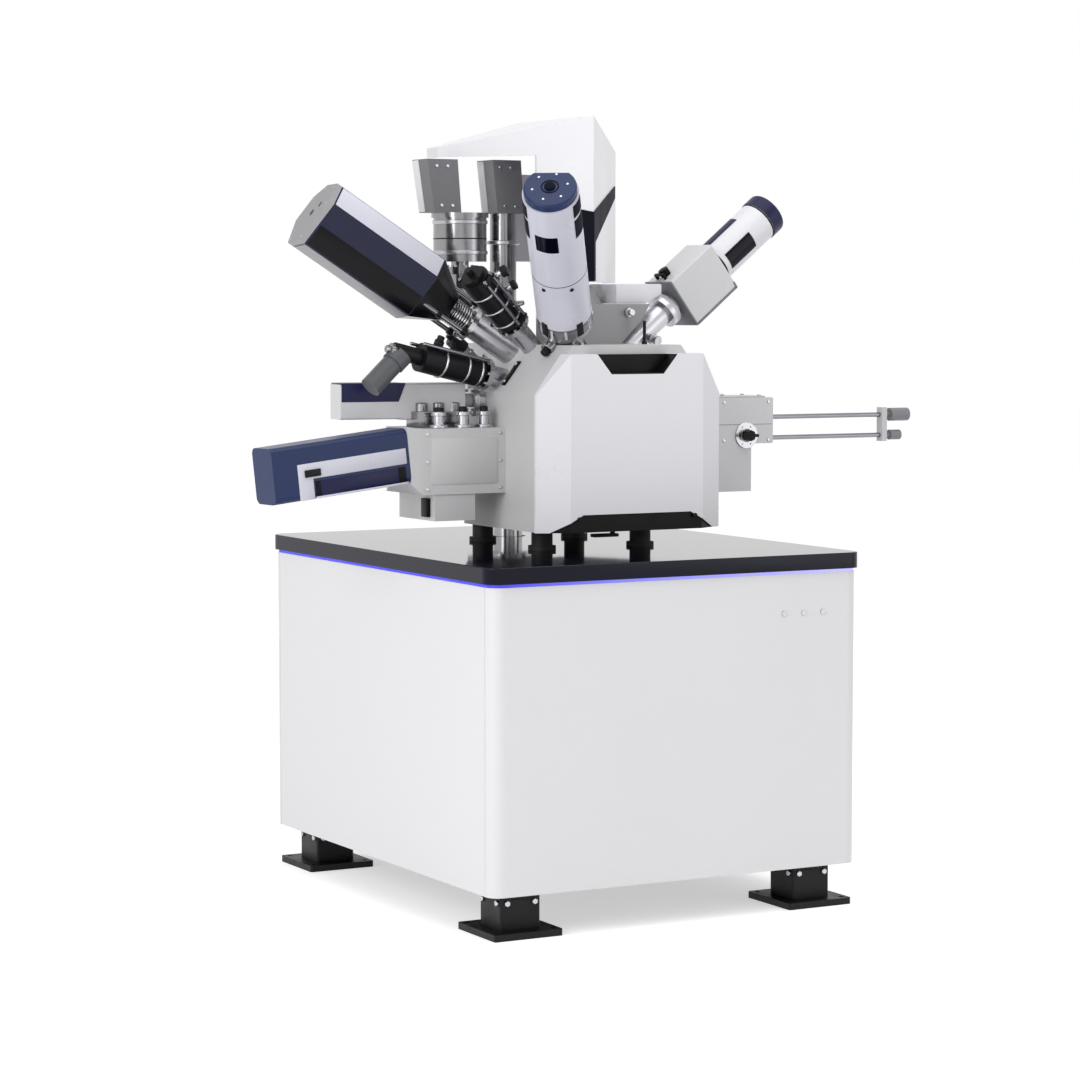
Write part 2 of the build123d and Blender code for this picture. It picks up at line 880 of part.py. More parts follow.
with BuildPart() as door_skirt:
    prism(front_view, skirt_outline, -door_face, -cover_front - skirt_setback)
    prism(Plane.XY, mirrored([
        (cover_half_width - cover_wall, door_face + 1), (cover_half_width - cover_wall, cover_bevel_back),
        (cover_flat_half_width, cover_front + skirt_setback),
    ]), cover_bottom, cover_bottom + skirt_height, Mode.INTERSECT)
finish(door_skirt.part, "door_skirt")

with BuildPart() as door_guide_rods:
    for side in (-1, 1):
        rod(guide_place(side), guide_rod_radius, 0, guide_rod_length)
finish(door_guide_rods.part, "door_guide_rods")

# Stage: base bracket, two cross slides, lift, cradle, turntable and specimen stub
base_top = stage_base_bottom + stage_base_thickness
base_inner = door_back + stage_front_plate
gusset_thickness, gusset_reach, gusset_drop = stage_gusset
with BuildPart() as stage_base:
    block((-stage_base_half_width, stage_base_half_width), (door_back, stage_base_back),
          (stage_base_bottom, base_top))
    block((-stage_base_half_width, stage_base_half_width), (door_back, base_inner),
          (stage_base_bottom, stage_front_top))
    for span in both_sides(stage_base_half_width, gusset_thickness):
        gusset = Plane(origin=(span[0], 0, 0), x_dir=(0, 1, 0), z_dir=(1, 0, 0))
        prism(gusset, ((base_inner, base_top), (base_inner + gusset_reach, base_top),
                       (base_inner, stage_front_top - gusset_drop)), 0, gusset_thickness)
    for x in (-stage_rail_gap, stage_rail_gap):
        block((x - stage_rail, x + stage_rail), (beam_y - stage_rail_half_length, stage_base_back),
              (base_top, base_top + stage_rail))
finish(stage_base.part, "stage_base")

y_bottom = base_top + slide_gap
y_top = y_bottom + slide_plate
groove_half = stage_rail + slide_gap
groove_reach = 2 * stage_rail_half_length
with BuildPart() as stage_y_slide:
    block((-stage_y_half[0], stage_y_half[0]), (beam_y - stage_y_half[1], beam_y + stage_y_half[1]),
          (y_bottom, y_top))
    for x in (-stage_rail_gap, stage_rail_gap):
        block((x - groove_half, x + groove_half), (beam_y - groove_reach, beam_y + groove_reach),
              (y_bottom - 1, base_top + groove_half), Mode.SUBTRACT)
    for y in (beam_y - cross_rail_gap, beam_y + cross_rail_gap):
        block((-stage_y_half[0], stage_y_half[0]), (y - stage_rail, y + stage_rail),
              (y_top, y_top + stage_rail))
finish(stage_y_slide.part, "stage_y_slide")

x_bottom = y_top + slide_gap
x_top = x_bottom + slide_plate
lift_post_bottom = lift_block_bottom - lift_post_drop
with BuildPart() as stage_x_slide:
    block((-stage_x_half[0], stage_x_half[0]), (beam_y - stage_x_half[1], beam_y + stage_x_half[1]),
          (x_bottom, x_top))
    for y in (beam_y - cross_rail_gap, beam_y + cross_rail_gap):
        block((-groove_reach, groove_reach), (y - groove_half, y + groove_half),
              (x_bottom - 1, y_top + groove_half), Mode.SUBTRACT)
    rod(beam, lift_sleeve_radius, x_top, x_top + lift_sleeve_height)
    rod(beam, lift_post_radius + fit, x_bottom + lift_floor, x_top + lift_sleeve_height + 1, Mode.SUBTRACT)
finish(stage_x_slide.part, "stage_x_slide")

tilt_frame = Plane(
    origin=sample, x_dir=(cos(radians(tilt_axis_turn)), sin(radians(tilt_axis_turn)), 0), z_dir=(0, 0, 1)
)
tilt_axis = Plane(origin=sample, x_dir=(0, 0, 1), z_dir=tilt_frame.x_dir)
lift_low = lift_block_bottom - sample_z
yoke_low = lift_low + lift_block_height
with BuildPart() as stage_z_lift:
    rod(beam, lift_post_radius, lift_post_bottom, lift_block_bottom)
    bar(tilt_frame, lift_block_half[0], lift_block_half[1], lift_low, yoke_low)
    for side in (-1, 1):
        with BuildSketch(tilt_frame.offset(yoke_low)) as ear:
            with Locations((side * (yoke_inner + yoke_thickness / 2), 0)):
                Rectangle(yoke_thickness, 2 * yoke_half_depth)
        extrude(ear.sketch, amount=yoke_overtop - yoke_low)
    rod(tilt_axis, tilt_pin_radius + fit, -2 * yoke_inner, 2 * yoke_inner, Mode.SUBTRACT)
finish(stage_z_lift.part, "stage_z_lift")

cheek_outer = yoke_inner - slide_gap
cradle_top = cradle_floor - cradle_floor_drop
with BuildPart() as stage_tilt_cradle:
    bar(tilt_frame, cheek_outer, cradle_half_depth + cradle_ledge, -cradle_floor_drop, cradle_top)
    for side in (-1, 1):
        with BuildSketch(tilt_frame.offset(-cradle_floor_drop)) as cheek:
            with Locations((side * (cheek_outer - cradle_cheek / 2), 0)):
                Rectangle(cradle_cheek, 2 * cradle_half_depth)
        extrude(cheek.sketch, amount=cradle_floor_drop + cradle_overtop)
        rod(tilt_axis, tilt_pin_radius, side * (cheek_outer - cradle_cheek),
            side * (yoke_inner + yoke_thickness - 1))
    rod(tilt_frame, turntable_shaft + fit, -cradle_floor_drop - 1, cradle_top + 1, Mode.SUBTRACT)
finish(stage_tilt_cradle.part, "stage_tilt_cradle")

table_bottom = -turntable_drop
table_top = table_bottom + turntable_thickness
with BuildPart() as stage_turntable:
    turned(tilt_frame, (
        (0, -cradle_floor_drop), (turntable_shaft, -cradle_floor_drop), (turntable_shaft, table_bottom),
        (turntable_radius, table_bottom), (turntable_radius, table_top), (stub_hole, table_top),
        (stub_hole, table_bottom + stub_hole_floor), (0, table_bottom + stub_hole_floor),
    ))
finish(stage_turntable.part, "stage_turntable")

with BuildPart() as specimen_stub:
    turned(tilt_frame, (
        (0, table_bottom + stub_hole_floor), (stub_pin, table_bottom + stub_hole_floor),
        (stub_pin, table_top), (stub_post, table_top), (stub_post, -stub_disc), (stub_radius, -stub_disc),
        (stub_radius, 0), (0, 0),
    ))
finish(specimen_stub.part, "specimen_stub")

# Electron column: objective lens, barrel and gun
lens_tip_z = sample_z + lens_tip_gap
lens_block_outline = (
    (lens_block_left, chamber_top), (lens_block_right_low, chamber_top),
    (lens_block_right_mid, lens_block_mid_z),
    (lens_block_right_top, lens_block_top), (lens_block_left, lens_block_top),
)
with BuildPart() as objective_lens:
    prism(front_view, lens_block_outline, -lens_block_back, -lens_block_front)
    turned(beam, (
        (0, lens_tip_z), (lens_tip_radius, lens_tip_z), (lens_cone_radius, lens_cone_z),
        (lens_radius, lens_neck_z), (lens_radius, chamber_top), (lens_cone_low_radius, chamber_top),
        (lens_cone_low_radius, lens_block_top), (lens_cone_high_radius, lens_cone_top), (0, lens_cone_top),
    ))
    rod(ion_axis, ion_port_radius + flange_lip, ion_bore_from, ion_flange[0] - soft_gap, Mode.SUBTRACT)
    rod(beam, beam_bore, lens_tip_z - 1, lens_cone_top + 1, Mode.SUBTRACT)
finish(objective_lens.part, "objective_lens")

flange_bottom = barrel_top - barrel_flange
with BuildPart() as column_barrel:
    turned(beam, (
        (beam_bore, lens_cone_top), (barrel_radius, lens_cone_top),
        (barrel_radius, condenser_z[0] - condenser_taper), (condenser_radius, condenser_z[0]),
        (condenser_radius, condenser_z[1]), (barrel_radius, condenser_z[1] + condenser_taper),
        (barrel_radius, flange_bottom), (gun_radius, flange_bottom), (gun_radius, barrel_top),
        (beam_bore, barrel_top),
    ))
finish(column_barrel.part, "column_barrel")

crown_drop, crown_inset = gun_crown
gun_bore = gun_radius - gun_wall
with BuildPart() as electron_gun:
    turned(beam, (
        (beam_bore, barrel_top), (gun_radius, barrel_top), (gun_radius, gun_top - crown_drop),
        (gun_radius - crown_inset, gun_top), (0, gun_top), (0, gun_top - gun_wall),
        (gun_bore - crown_inset, gun_top - gun_wall), (gun_bore, gun_top - gun_wall - crown_drop),
        (gun_bore, barrel_top + gun_wall), (beam_bore, barrel_top + gun_wall),
    ))
finish(electron_gun.part, "electron_gun")


def housing_block(inset):
    """The prow-shaped housing, each face moved in by the inset."""
    depth = prow_back - prow_front
    length = hypot(prow_half_width, depth)
    plan = mirrored([
        (0, prow_front + inset * length / prow_half_width),
        (prow_half_width - inset, prow_back + inset * (length - depth) / prow_half_width),
        (prow_half_width - inset, housing_back + inset),
    ])
    peak = housing_peak - inset
    gable = mirrored([
        (cabinet_width, housing_bottom - inset),
        (cabinet_width, peak - housing_slope * cabinet_width), (0, peak),
    ])
    prism(Plane.XY, plan, housing_bottom - housing_wall, housing_peak)
    prism(front_view, gable, -housing_back - 2 * housing_wall, -prow_front + 2 * housing_wall, Mode.INTERSECT)


with BuildPart() as housing_solid:
    housing_block(0)

with BuildPart() as housing_hollow:
    housing_block(housing_wall)

with BuildPart() as column_cover:
    add(housing_solid.part)
    add(housing_hollow.part, mode=Mode.SUBTRACT)
    block((-cabinet_width, -prow_half_width * canopy_start), (prow_front, housing_back + housing_wall),
          (housing_bottom - housing_wall, canopy_z), Mode.SUBTRACT)
    block((-hanger_half, hanger_half), (beam_y - hanger_half, beam_y + hanger_half),
          (gun_top, housing_peak - housing_wall - hanger_gap))
finish(column_cover.part, "column_cover")

# Trim that wraps the housing's front edge
trim_outline = (
    (trim_stem, housing_bottom - housing_wall), (trim_stem, trim_split_z), trim_right[:2], trim_right[::2],
    (0, trim_notch_z), trim_left[::2], trim_left[:2], (-trim_stem, trim_split_z),
    (-trim_stem, housing_bottom - housing_wall),
)
with BuildPart() as cover_trim:
    housing_block(-trim_thickness)
    add(housing_solid.part, mode=Mode.SUBTRACT)
    prism(front_view, trim_outline, -prow_back, cabinet_width, Mode.INTERSECT)
finish(cover_trim.part, "cover_trim")

# Port tubes with flanges
port_list = (
    (eds_axis, eds_port, eds_tube_radius), (gas_axis, gas_port, gas_rod_radius),
    (side_axis, side_port, side_rod_radius), (rear_axis, rear_port, rear_rod_radius),
    (manipulator_axis, manipulator_port, manipulator_rod_radius),
)
with BuildPart() as port_flanges:
    for axis, (radius, inner, outer), rod_size in port_list:
        turned(axis, (
            (rod_size + fit, inner), (radius, inner), (radius, outer - flange_thickness),
            (radius + flange_lip, outer - flange_thickness), (radius + flange_lip, outer),
            (rod_size + fit, outer),
        ))
        bolt_shanks(axis, radius + flange_lip - bolt_inset, outer, flange_thickness, fit, Mode.SUBTRACT)
finish(port_flanges.part, "port_flanges")

# Ion column with its cover and cap
ion_core_top = ion_cover_top - ion_core_gap
ion_cover_flat = ion_flat + ion_cover_step
with BuildPart() as ion_column:
    turned(ion_axis, (
        (0, ion_tip), (ion_tip_radius, ion_tip), (ion_tube_radius, ion_tube_from),
        (ion_tube_radius, ion_shoulder[0]), (ion_port_radius, ion_shoulder[1]),
        (ion_port_radius, ion_flange[0]),
        (ion_flange[2], ion_flange[0]), (ion_flange[2], ion_flange[1]), (ion_core_radius, ion_flange[1]),
        (ion_core_radius, ion_core_top), (0, ion_core_top),
    ))
    rod(ion_axis, ion_tip_radius / 2, ion_tip - 1, ion_shoulder[0], Mode.SUBTRACT)
finish(ion_column.part, "ion_column")


def shield(radius, flat):
    """A round outline with a flat top."""
    Circle(radius)
    with Locations((0, flat + radius)):
        Rectangle(3 * radius, 2 * radius, mode=Mode.SUBTRACT)


with BuildPart() as ion_cover:
    with BuildSketch(ion_axis.offset(ion_flange[1] + soft_gap)):
        shield(ion_cover_radius, ion_cover_flat)
    extrude(amount=ion_cover_top - ion_flange[1] - soft_gap)
    with BuildSketch(ion_axis.offset(ion_flange[1])):
        shield(ion_cover_radius - ion_cover_wall, ion_cover_flat - ion_cover_wall)
    extrude(amount=ion_cover_top - ion_flange[1] - ion_cover_crown, mode=Mode.SUBTRACT)
    rod(ion_axis, ion_post_radius, ion_core_top, ion_cover_top - ion_cover_crown / 2)
    window = Plane(origin=ion_axis.origin, x_dir=ion_axis.x_dir, z_dir=-ion_axis.y_dir)
    with BuildSketch(window.offset(ion_cover_radius + 1)) as pane:
        with Locations((0, sum(window_t) / 2)):
            RectangleRounded(window_size, window_t[1] - window_t[0], window_corner)
    extrude(pane.sketch, amount=-window_depth - 1, mode=Mode.SUBTRACT)
finish(ion_cover.part, "ion_cover")

with BuildPart() as ion_cap:
    with BuildSketch(ion_axis.offset(ion_cover_top)):
        shield(ion_cap_radius, ion_flat)
    extrude(amount=ion_cap_thickness)
    fillet(ion_cap.faces().sort_by(Axis(ion_axis.origin, ion_axis.z_dir))[-1].edges(), ion_cap_edge)
finish(ion_cap.part, "ion_cap")

# Large spectrometer: housing, end cap and tube
with BuildPart() as eds_housing:
    prism(eds_axis, eds_outline, eds_start, eds_end)
    with BuildSketch(eds_axis.offset(eds_start)):
        Polygon(*eds_outline, align=None)
    with BuildSketch(eds_axis.offset(eds_neck_start)):
        RectangleRounded(2 * eds_neck_half, 2 * eds_neck_half, eds_neck_corner)
    loft()
    rod(eds_axis, eds_tube_radius, eds_neck_start - 1, eds_neck_start + eds_seat, Mode.SUBTRACT)
finish(eds_housing.part, "eds_housing")

with BuildPart() as eds_end_cap:
    prism(eds_axis, eds_outline, eds_end, eds_end + eds_cap)
    rod(eds_axis, eds_cap_hole, eds_end + eds_cap / 3, eds_end + eds_cap + 1, Mode.SUBTRACT)
finish(eds_end_cap.part, "eds_end_cap")

with BuildPart() as eds_tube:
    turned(eds_axis, (
        (0, eds_tip), (eds_tip_radius, eds_tip), (eds_tip_radius, eds_tip_taper[0]),
        (eds_tube_radius, eds_tip_taper[1]), (eds_tube_radius, eds_neck_start + eds_seat),
        (0, eds_neck_start + eds_seat),
    ))
finish(eds_tube.part, "eds_tube")

# Gas injector
nozzle_radius, nozzle_from, nozzle_to = gas_nozzle
end_radius, end_length, tail_radius, tail_length = gas_end
end_from = gas_body[1] + end_length
with BuildPart() as gas_injector:
    rod(gas_axis, gas_needle_radius, gas_needle_tip, nozzle_from + rod_lap)
    rod(gas_axis, nozzle_radius, nozzle_from, nozzle_to)
    rod(gas_axis, gas_rod_radius, nozzle_to - rod_lap, gas_body[0] + rod_lap)
    rod(gas_axis, gas_radius, gas_body[0], gas_body[1])
    rod(gas_axis, end_radius, gas_body[1], end_from)
    rod(gas_axis, tail_radius, end_from, end_from + tail_length)
finish(gas_injector.part, "gas_injector")

# Side detector and its motor
motor_origin = side_axis.origin + side_axis.z_dir * (side_neck_end - motor_radius)
motor_axis = Plane(origin=motor_origin, x_dir=side_axis.x_dir, z_dir=aimed((side_aim[0], -motor_drop)).z_dir)
nozzle_radius, nozzle_from, nozzle_to = side_nozzle
with BuildPart() as side_detector:
    rod(side_axis, nozzle_radius, nozzle_from, nozzle_to)
    rod(side_axis, side_rod_radius, nozzle_to - rod_lap, side_body[0] + rod_lap)
    rod(side_axis, side_radius, side_body[0], side_body[1])
    rod(side_axis, side_neck_radius, side_body[1], side_neck_end)
finish(side_detector.part, "side_detector")

with BuildPart() as side_detector_motor:
    rod(motor_axis, motor_radius, motor_start, motor_length)
    rod(motor_axis, motor_radius + motor_collar[0], motor_start, motor_collar[1])
    rod(side_axis, side_neck_radius + fit, side_body[1], side_neck_end, Mode.SUBTRACT)
finish(side_detector_motor.part, "side_detector_motor")

# Rear retractable detector
nozzle_radius, nozzle_from, nozzle_to = rear_nozzle
with BuildPart() as rear_detector:
    rod(rear_axis, nozzle_radius, nozzle_from, nozzle_to)
    rod(rear_axis, rear_rod_radius, nozzle_to - rod_lap, rear_box[0] + rod_lap)
    bar(rear_axis, rear_half[0], rear_half[1], rear_box[0], rear_box[1], rear_corner)
    bar(rear_axis, rear_half[0], rear_half[1] - 2, rear_box[1], rear_body_end, rear_corner)
finish(rear_detector.part, "rear_detector")

# Getter pump on an elbow from a vertical manifold, with a magnet on each
getter_axis = upright(*getter_xy)
manifold_axis = upright(*manifold_xy)
elbow = Vector(getter_xy[0], getter_xy[1], getter_elbow_z)
foot = Vector(manifold_xy[0], manifold_xy[1], manifold_join_z)
arm = elbow - foot
arm_plane = Plane(origin=foot, x_dir=(0, 1, 0), z_dir=arm.normalized())
rim_lip, rim_height = getter_rim
with BuildPart() as getter_pump:
    rod(getter_axis, getter_radius, getter_bottom, getter_top)
    rod(getter_axis, getter_radius + rim_lip, getter_top - rim_height, getter_top)
    rod(getter_axis, getter_neck_radius, getter_elbow_z, getter_bottom)
    rod(getter_axis, getter_flange_radius, getter_flange_z, getter_flange_z + getter_flange)
    with Locations(elbow):
        Sphere(getter_neck_radius)
    rod(arm_plane, getter_neck_radius, 0, arm.length)
    rod(arm_plane, getter_flange_radius, arm_flange_from, arm_flange_from + getter_flange)
    rod(manifold_axis, manifold_radius, chamber_top, getter_top)
    rod(manifold_axis, manifold_seat[0], chamber_top, chamber_top + manifold_seat[1])
    for place, face in ((getter_axis, getter_flange_z), (arm_plane, arm_flange_from)):
        bolt_shanks(place, getter_flange_radius - bolt_inset, face + getter_flange, getter_flange, fit,
                    Mode.SUBTRACT)
finish(getter_pump.part, "getter_pump")

with BuildPart() as getter_magnets:
    for outline in (magnet_left, magnet_right):
        prism(front_view, outline, -magnet_y[1], -magnet_y[0])
finish(getter_magnets.part, "getter_magnets")

# Left port box and camera detector
taper_end = camera_axis.offset(camera_start - soft_gap)
box_span = (port_box_outer + port_box_wall, -chamber_half_width - port_box_wall)
with BuildPart() as left_port_box:
    block((port_box_outer, -chamber_half_width), (port_box_front, port_box_back), port_box_z)
    block(port_low_box[:2], (port_box_front + port_low_inset, port_box_back - port_low_inset),
          (port_low_box[2], port_box_z[0]))
    with BuildSketch(Plane.YZ.offset(port_box_outer)):
        with Locations(((port_box_front + port_box_back) / 2, sum(port_box_z) / 2)):
            Rectangle(port_box_back - port_box_front, port_box_z[1] - port_box_z[0])
    with BuildSketch(Plane(origin=taper_end.origin, x_dir=-taper_end.x_dir, z_dir=-taper_end.z_dir)):
        Rectangle(2 * taper_half[0], 2 * taper_half[1])
    loft()
    block(box_span, (port_box_front + port_box_wall, port_box_back - port_box_wall),
          (port_box_z[0] + port_box_wall, port_box_z[1] - port_box_wall), Mode.SUBTRACT)
    rod(camera_axis, camera_rod_radius + fit, camera_shoulder, camera_start, Mode.SUBTRACT)
finish(left_port_box.part, "left_port_box")

with BuildPart() as camera_detector:
    bar(camera_axis, camera_half[0], camera_half[1], camera_start, camera_end, camera_corner)
    rod(camera_axis, camera_rod_radius, camera_shoulder, camera_start + rod_lap)
    rod(camera_axis, camera_nozzle_radius, camera_tip, camera_shoulder + rod_lap)
finish(camera_detector.part, "camera_detector")

# Micromanipulator: fixed case, sliding drive and cap
case_start, case_end = manipulator_case
adapter_face = manipulator_port[2] + adapter_thickness
adapter_radius = manipulator_port[0] + flange_lip
with BuildPart() as manipulator_box:
    rod(manipulator_axis, adapter_radius, manipulator_port[2], adapter_face)
    rod(manipulator_axis, adapter_neck_radius, adapter_face, case_start)
    bar(manipulator_axis, manipulator_half[0], manipulator_half[1], case_start, case_end, manipulator_corner)
    rod(manipulator_axis, manipulator_rod_radius + fit, manipulator_port[2] - 1, case_end + 1, Mode.SUBTRACT)
    bolt_shanks(manipulator_axis, adapter_radius - bolt_inset, adapter_face, adapter_thickness, fit,
                Mode.SUBTRACT)
finish(manipulator_box.part, "manipulator_box")

with BuildPart() as manipulator_body:
    turned(manipulator_axis, (
        *manipulator_needle, (manipulator_rod_radius, manipulator_shoulder),
        (manipulator_rod_radius, case_end + soft_gap), (manipulator_radius, case_end + soft_gap),
        (manipulator_radius, manipulator_cap_from), (0, manipulator_cap_from),
    ))
finish(manipulator_body.part, "manipulator_body")

with BuildPart() as manipulator_cap:
    rod(manipulator_axis, manipulator_cap_radius, manipulator_cap_from, manipulator_end)
    cap_face = manipulator_cap.faces().sort_by(Axis(manipulator_axis.origin, manipulator_axis.z_dir))[-1]
    fillet(cap_face.edges(), manipulator_cap_edge)
finish(manipulator_cap.part, "manipulator_cap")

# Load lock with its gate, transfer rods, bracket and knobs
lock_y = (beam_y - lock_half_width, beam_y + lock_half_width)
gate_room = (beam_y - gate_half_width - slide_gap, beam_y + gate_half_width + slide_gap)
with BuildPart() as load_lock_box:
    block((chamber_half_width, lock_end), lock_y, lock_z)
    block((chamber_half_width, lock_low_end), lock_y, (lock_low_z, lock_z[0]))
    fillet(load_lock_box.edges().filter_by(Axis.Y).group_by(Axis.X)[-1], lock_edge)
    block((chamber_half_width + gate_wall, lock_end - lock_wall),
          (lock_y[0] + lock_wall, lock_y[1] - lock_wall), (guide_z - lock_sill, lock_z[1] - lock_wall),
          Mode.SUBTRACT)
    block((gate_x[0] - slide_gap, gate_x[1] + slide_gap), gate_room, (gate_z[0] - slide_gap, gate_top),
          Mode.SUBTRACT)
    rod(transfer_axis, passage_radius, chamber_half_width - 1, chamber_half_width + gate_wall + 1,
        Mode.SUBTRACT)
    rod(transfer_axis, rod_radius + fit, lock_end - lock_wall - 1, lock_end + 1, Mode.SUBTRACT)
    rod(guide_axis, rod_radius + fit, lock_end - lock_wall - 1, lock_end + 1, Mode.SUBTRACT)
    valve_seat = front_view.offset(-lock_y[0])
    with BuildSketch(valve_seat) as stem_hole:
        with Locations((valve_x, valve_z)):
            Circle(valve_stem + fit)
    extrude(stem_hole.sketch, amount=-valve_seat_depth, mode=Mode.SUBTRACT)
finish(load_lock_box.part, "load_lock_box")

with BuildPart() as gate_plate:
    block(gate_x, (beam_y - gate_half_width, beam_y + gate_half_width), gate_z)
finish(gate_plate.part, "gate_plate")

with BuildPart() as transfer_rods:
    rod(transfer_axis, rod_radius, rod_tip, rod_end)
    rod(guide_axis, rod_radius, guide_tip, rod_end)
finish(transfer_rods.part, "transfer_rods")

with BuildPart() as end_bracket:
    block((rod_end - bracket_thickness, rod_end), (beam_y - bracket_half, beam_y + bracket_half), bracket_z)
    for axis in (transfer_axis, guide_axis):
        rod(axis, rod_radius + fit, rod_end - bracket_thickness - 1, rod_end + 1, Mode.SUBTRACT)
finish(end_bracket.part, "end_bracket")

with BuildPart() as transfer_knobs:
    for axis, (radius, length) in ((transfer_axis, upper_knob), (guide_axis, lower_knob)):
        rod(axis, knob_neck[0], rod_end, rod_end + knob_neck[1])
        rod(axis, radius, rod_end + knob_neck[1], rod_end + length)
finish(transfer_knobs.part, "transfer_knobs")

with BuildPart() as valve_knob:
    with BuildSketch(valve_seat.offset(soft_gap)):
        with Locations((valve_x, valve_z)):
            RegularPolygon(valve_radius, 8)
    extrude(amount=valve_length)
    with BuildSketch(valve_seat.offset(-valve_stem_depth)):
        with Locations((valve_x, valve_z)):
            Circle(valve_stem)
    extrude(amount=valve_stem_depth + valve_length / 2)
finish(valve_knob.part, "valve_knob")

# Bolts of all the round flanges
getter_bolt_circle = getter_flange_radius - bolt_inset
with BuildPart() as flange_bolts:
    for axis, (radius, inner, outer), rod_size in port_list[:-1]:
        bolt_shanks(axis, radius + flange_lip - bolt_inset, outer, flange_thickness)
        bolt_heads(axis, radius + flange_lip - bolt_inset, outer)
    bolt_shanks(manipulator_axis, adapter_radius - bolt_inset, adapter_face,
                adapter_thickness + flange_thickness)
    bolt_heads(manipulator_axis, adapter_radius - bolt_inset, adapter_face)
    bolt_shanks(getter_axis, getter_bolt_circle, getter_flange_z + getter_flange, getter_flange)
    bolt_heads(getter_axis, getter_bolt_circle, getter_flange_z + getter_flange)
    bolt_shanks(arm_plane, getter_bolt_circle, arm_flange_from + getter_flange, getter_flange)
    bolt_heads(arm_plane, getter_bolt_circle, arm_flange_from + getter_flange)
finish(flange_bolts.part, "flange_bolts")
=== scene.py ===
import json
import math

import bmesh
import bpy
from mathutils import Euler, Matrix, Vector

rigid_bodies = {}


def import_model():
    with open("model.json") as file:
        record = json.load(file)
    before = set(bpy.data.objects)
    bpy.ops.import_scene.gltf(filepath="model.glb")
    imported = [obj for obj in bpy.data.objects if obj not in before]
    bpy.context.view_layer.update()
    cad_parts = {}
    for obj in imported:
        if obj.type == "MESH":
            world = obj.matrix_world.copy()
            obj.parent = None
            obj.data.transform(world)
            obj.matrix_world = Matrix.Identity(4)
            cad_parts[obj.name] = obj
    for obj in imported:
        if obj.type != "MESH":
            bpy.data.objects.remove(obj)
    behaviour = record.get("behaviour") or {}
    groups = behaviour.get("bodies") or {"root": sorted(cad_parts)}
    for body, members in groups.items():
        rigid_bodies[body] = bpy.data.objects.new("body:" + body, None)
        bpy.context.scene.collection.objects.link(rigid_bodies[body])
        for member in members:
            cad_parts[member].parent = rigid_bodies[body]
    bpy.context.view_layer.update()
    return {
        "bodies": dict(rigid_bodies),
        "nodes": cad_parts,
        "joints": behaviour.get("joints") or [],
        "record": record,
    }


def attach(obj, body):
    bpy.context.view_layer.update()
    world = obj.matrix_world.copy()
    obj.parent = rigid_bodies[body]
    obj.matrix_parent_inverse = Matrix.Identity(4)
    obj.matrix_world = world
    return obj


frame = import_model()
cad_nodes = frame["nodes"]

# Camera, fitted to the photograph: 36 mm sensor, floor origin under the cabinet's centre
LENS_MM = 104.87
CAMERA_PLACE = (-3.794, -6.870, 1.461)
CAMERA_TILT = 90 - 4.35
CAMERA_TURN = -28.62

camera_data = bpy.data.cameras.new("camera")
camera_data.lens = LENS_MM
camera_data.sensor_width = 36
camera = bpy.data.objects.new("camera", camera_data)
camera.location = CAMERA_PLACE
camera.rotation_euler = Euler((math.radians(CAMERA_TILT), 0, math.radians(CAMERA_TURN)))
bpy.context.scene.collection.objects.link(camera)
bpy.context.scene.camera = camera
bpy.context.scene.view_settings.view_transform = "Standard"

# Places: every size below is in millimetres, and a place turns it to metres in the shared frame
MM = 0.001
# Where the beams meet the specimen
BEAM = Vector((0, -90, 1224))
WORLD = Matrix.Scale(MM, 4)


def place(origin, side, up, out):
    """A frame whose x, y and z run along side, up and out."""
    turn = Matrix((side, up, out)).transposed().to_4x4()
    return Matrix.Scale(MM, 4) @ Matrix.Translation(origin) @ turn


def port(turn, rise, drop=0):
    """A port's frame: z runs outwards along its axis and y upwards."""
    t, r = math.radians(turn), math.radians(rise)
    side = Vector((-math.sin(t), math.cos(t), 0))
    out = Vector((math.cos(r) * math.cos(t), math.cos(r) * math.sin(t), math.sin(r)))
    return place(BEAM - Vector((0, 0, drop)), side, out.cross(side), out)


def along(point, direction):
    """A frame at a point whose z runs in a direction."""
    out = Vector(direction).normalized()
    helper = Vector((0, 0, 1)) if abs(out.z) < 0.9 else Vector((0, 1, 0))
    side = helper.cross(out).normalized()
    return place(Vector(point), side, out.cross(side), out)


ION = port(-124.9, 42)
EDS = port(175, 33.2)
GAS = port(-158.5, 38)
SIDE = port(-175, 13)
REAR = port(173, 0, 5)
CAM = port(-175, -6.26, 75)
MANIPULATOR = port(4, 38)
FRONT = place((0, 0, 0), (1, 0, 0), (0, 0, 1), (0, -1, 0))
BACK = place((0, 0, 0), (-1, 0, 0), (0, 0, 1), (0, 1, 0))
BACK_WIDE = BACK @ Matrix.Diagonal((-1, 1, 1, 1))
SHOULDER = place((-205, -150, 1285), (0, -1, 0), (0.616, 0, 0.788), (-0.788, 0, 0.616))
GAUGE = along((-192, 40, 1301), (-0.75, 0.05, 0.66))


def upright(x, y):
    """A frame at a point of the floor, unturned."""
    return place((x, y, 0), (1, 0, 0), (0, 1, 0), (0, 0, 1))


COLUMN = upright(0, -90)
GETTER = upright(-222, 90)
MANIFOLD = upright(-101, 90)
VALVE = FRONT @ Matrix.Translation((466, 1122, 0))

# Spots that several pieces share
BOX_FITTINGS = ((-402, -148), (-338, -150), (-276, -140))
SPECTROMETER_RODS = ((44, -34), (-44, -34), (0, 52))
ION_STRIPS = [(start, low, high) for start in (-36, 180) for low, high in ((612, 668), (678, 716))]
ION_FEEDTHROUGHS = (-62, -118)
FOOT_X = (-400, 400)
FOOT_Y = (-505, 505)
STRIP_ENDS_M = (-0.5, 0.45)

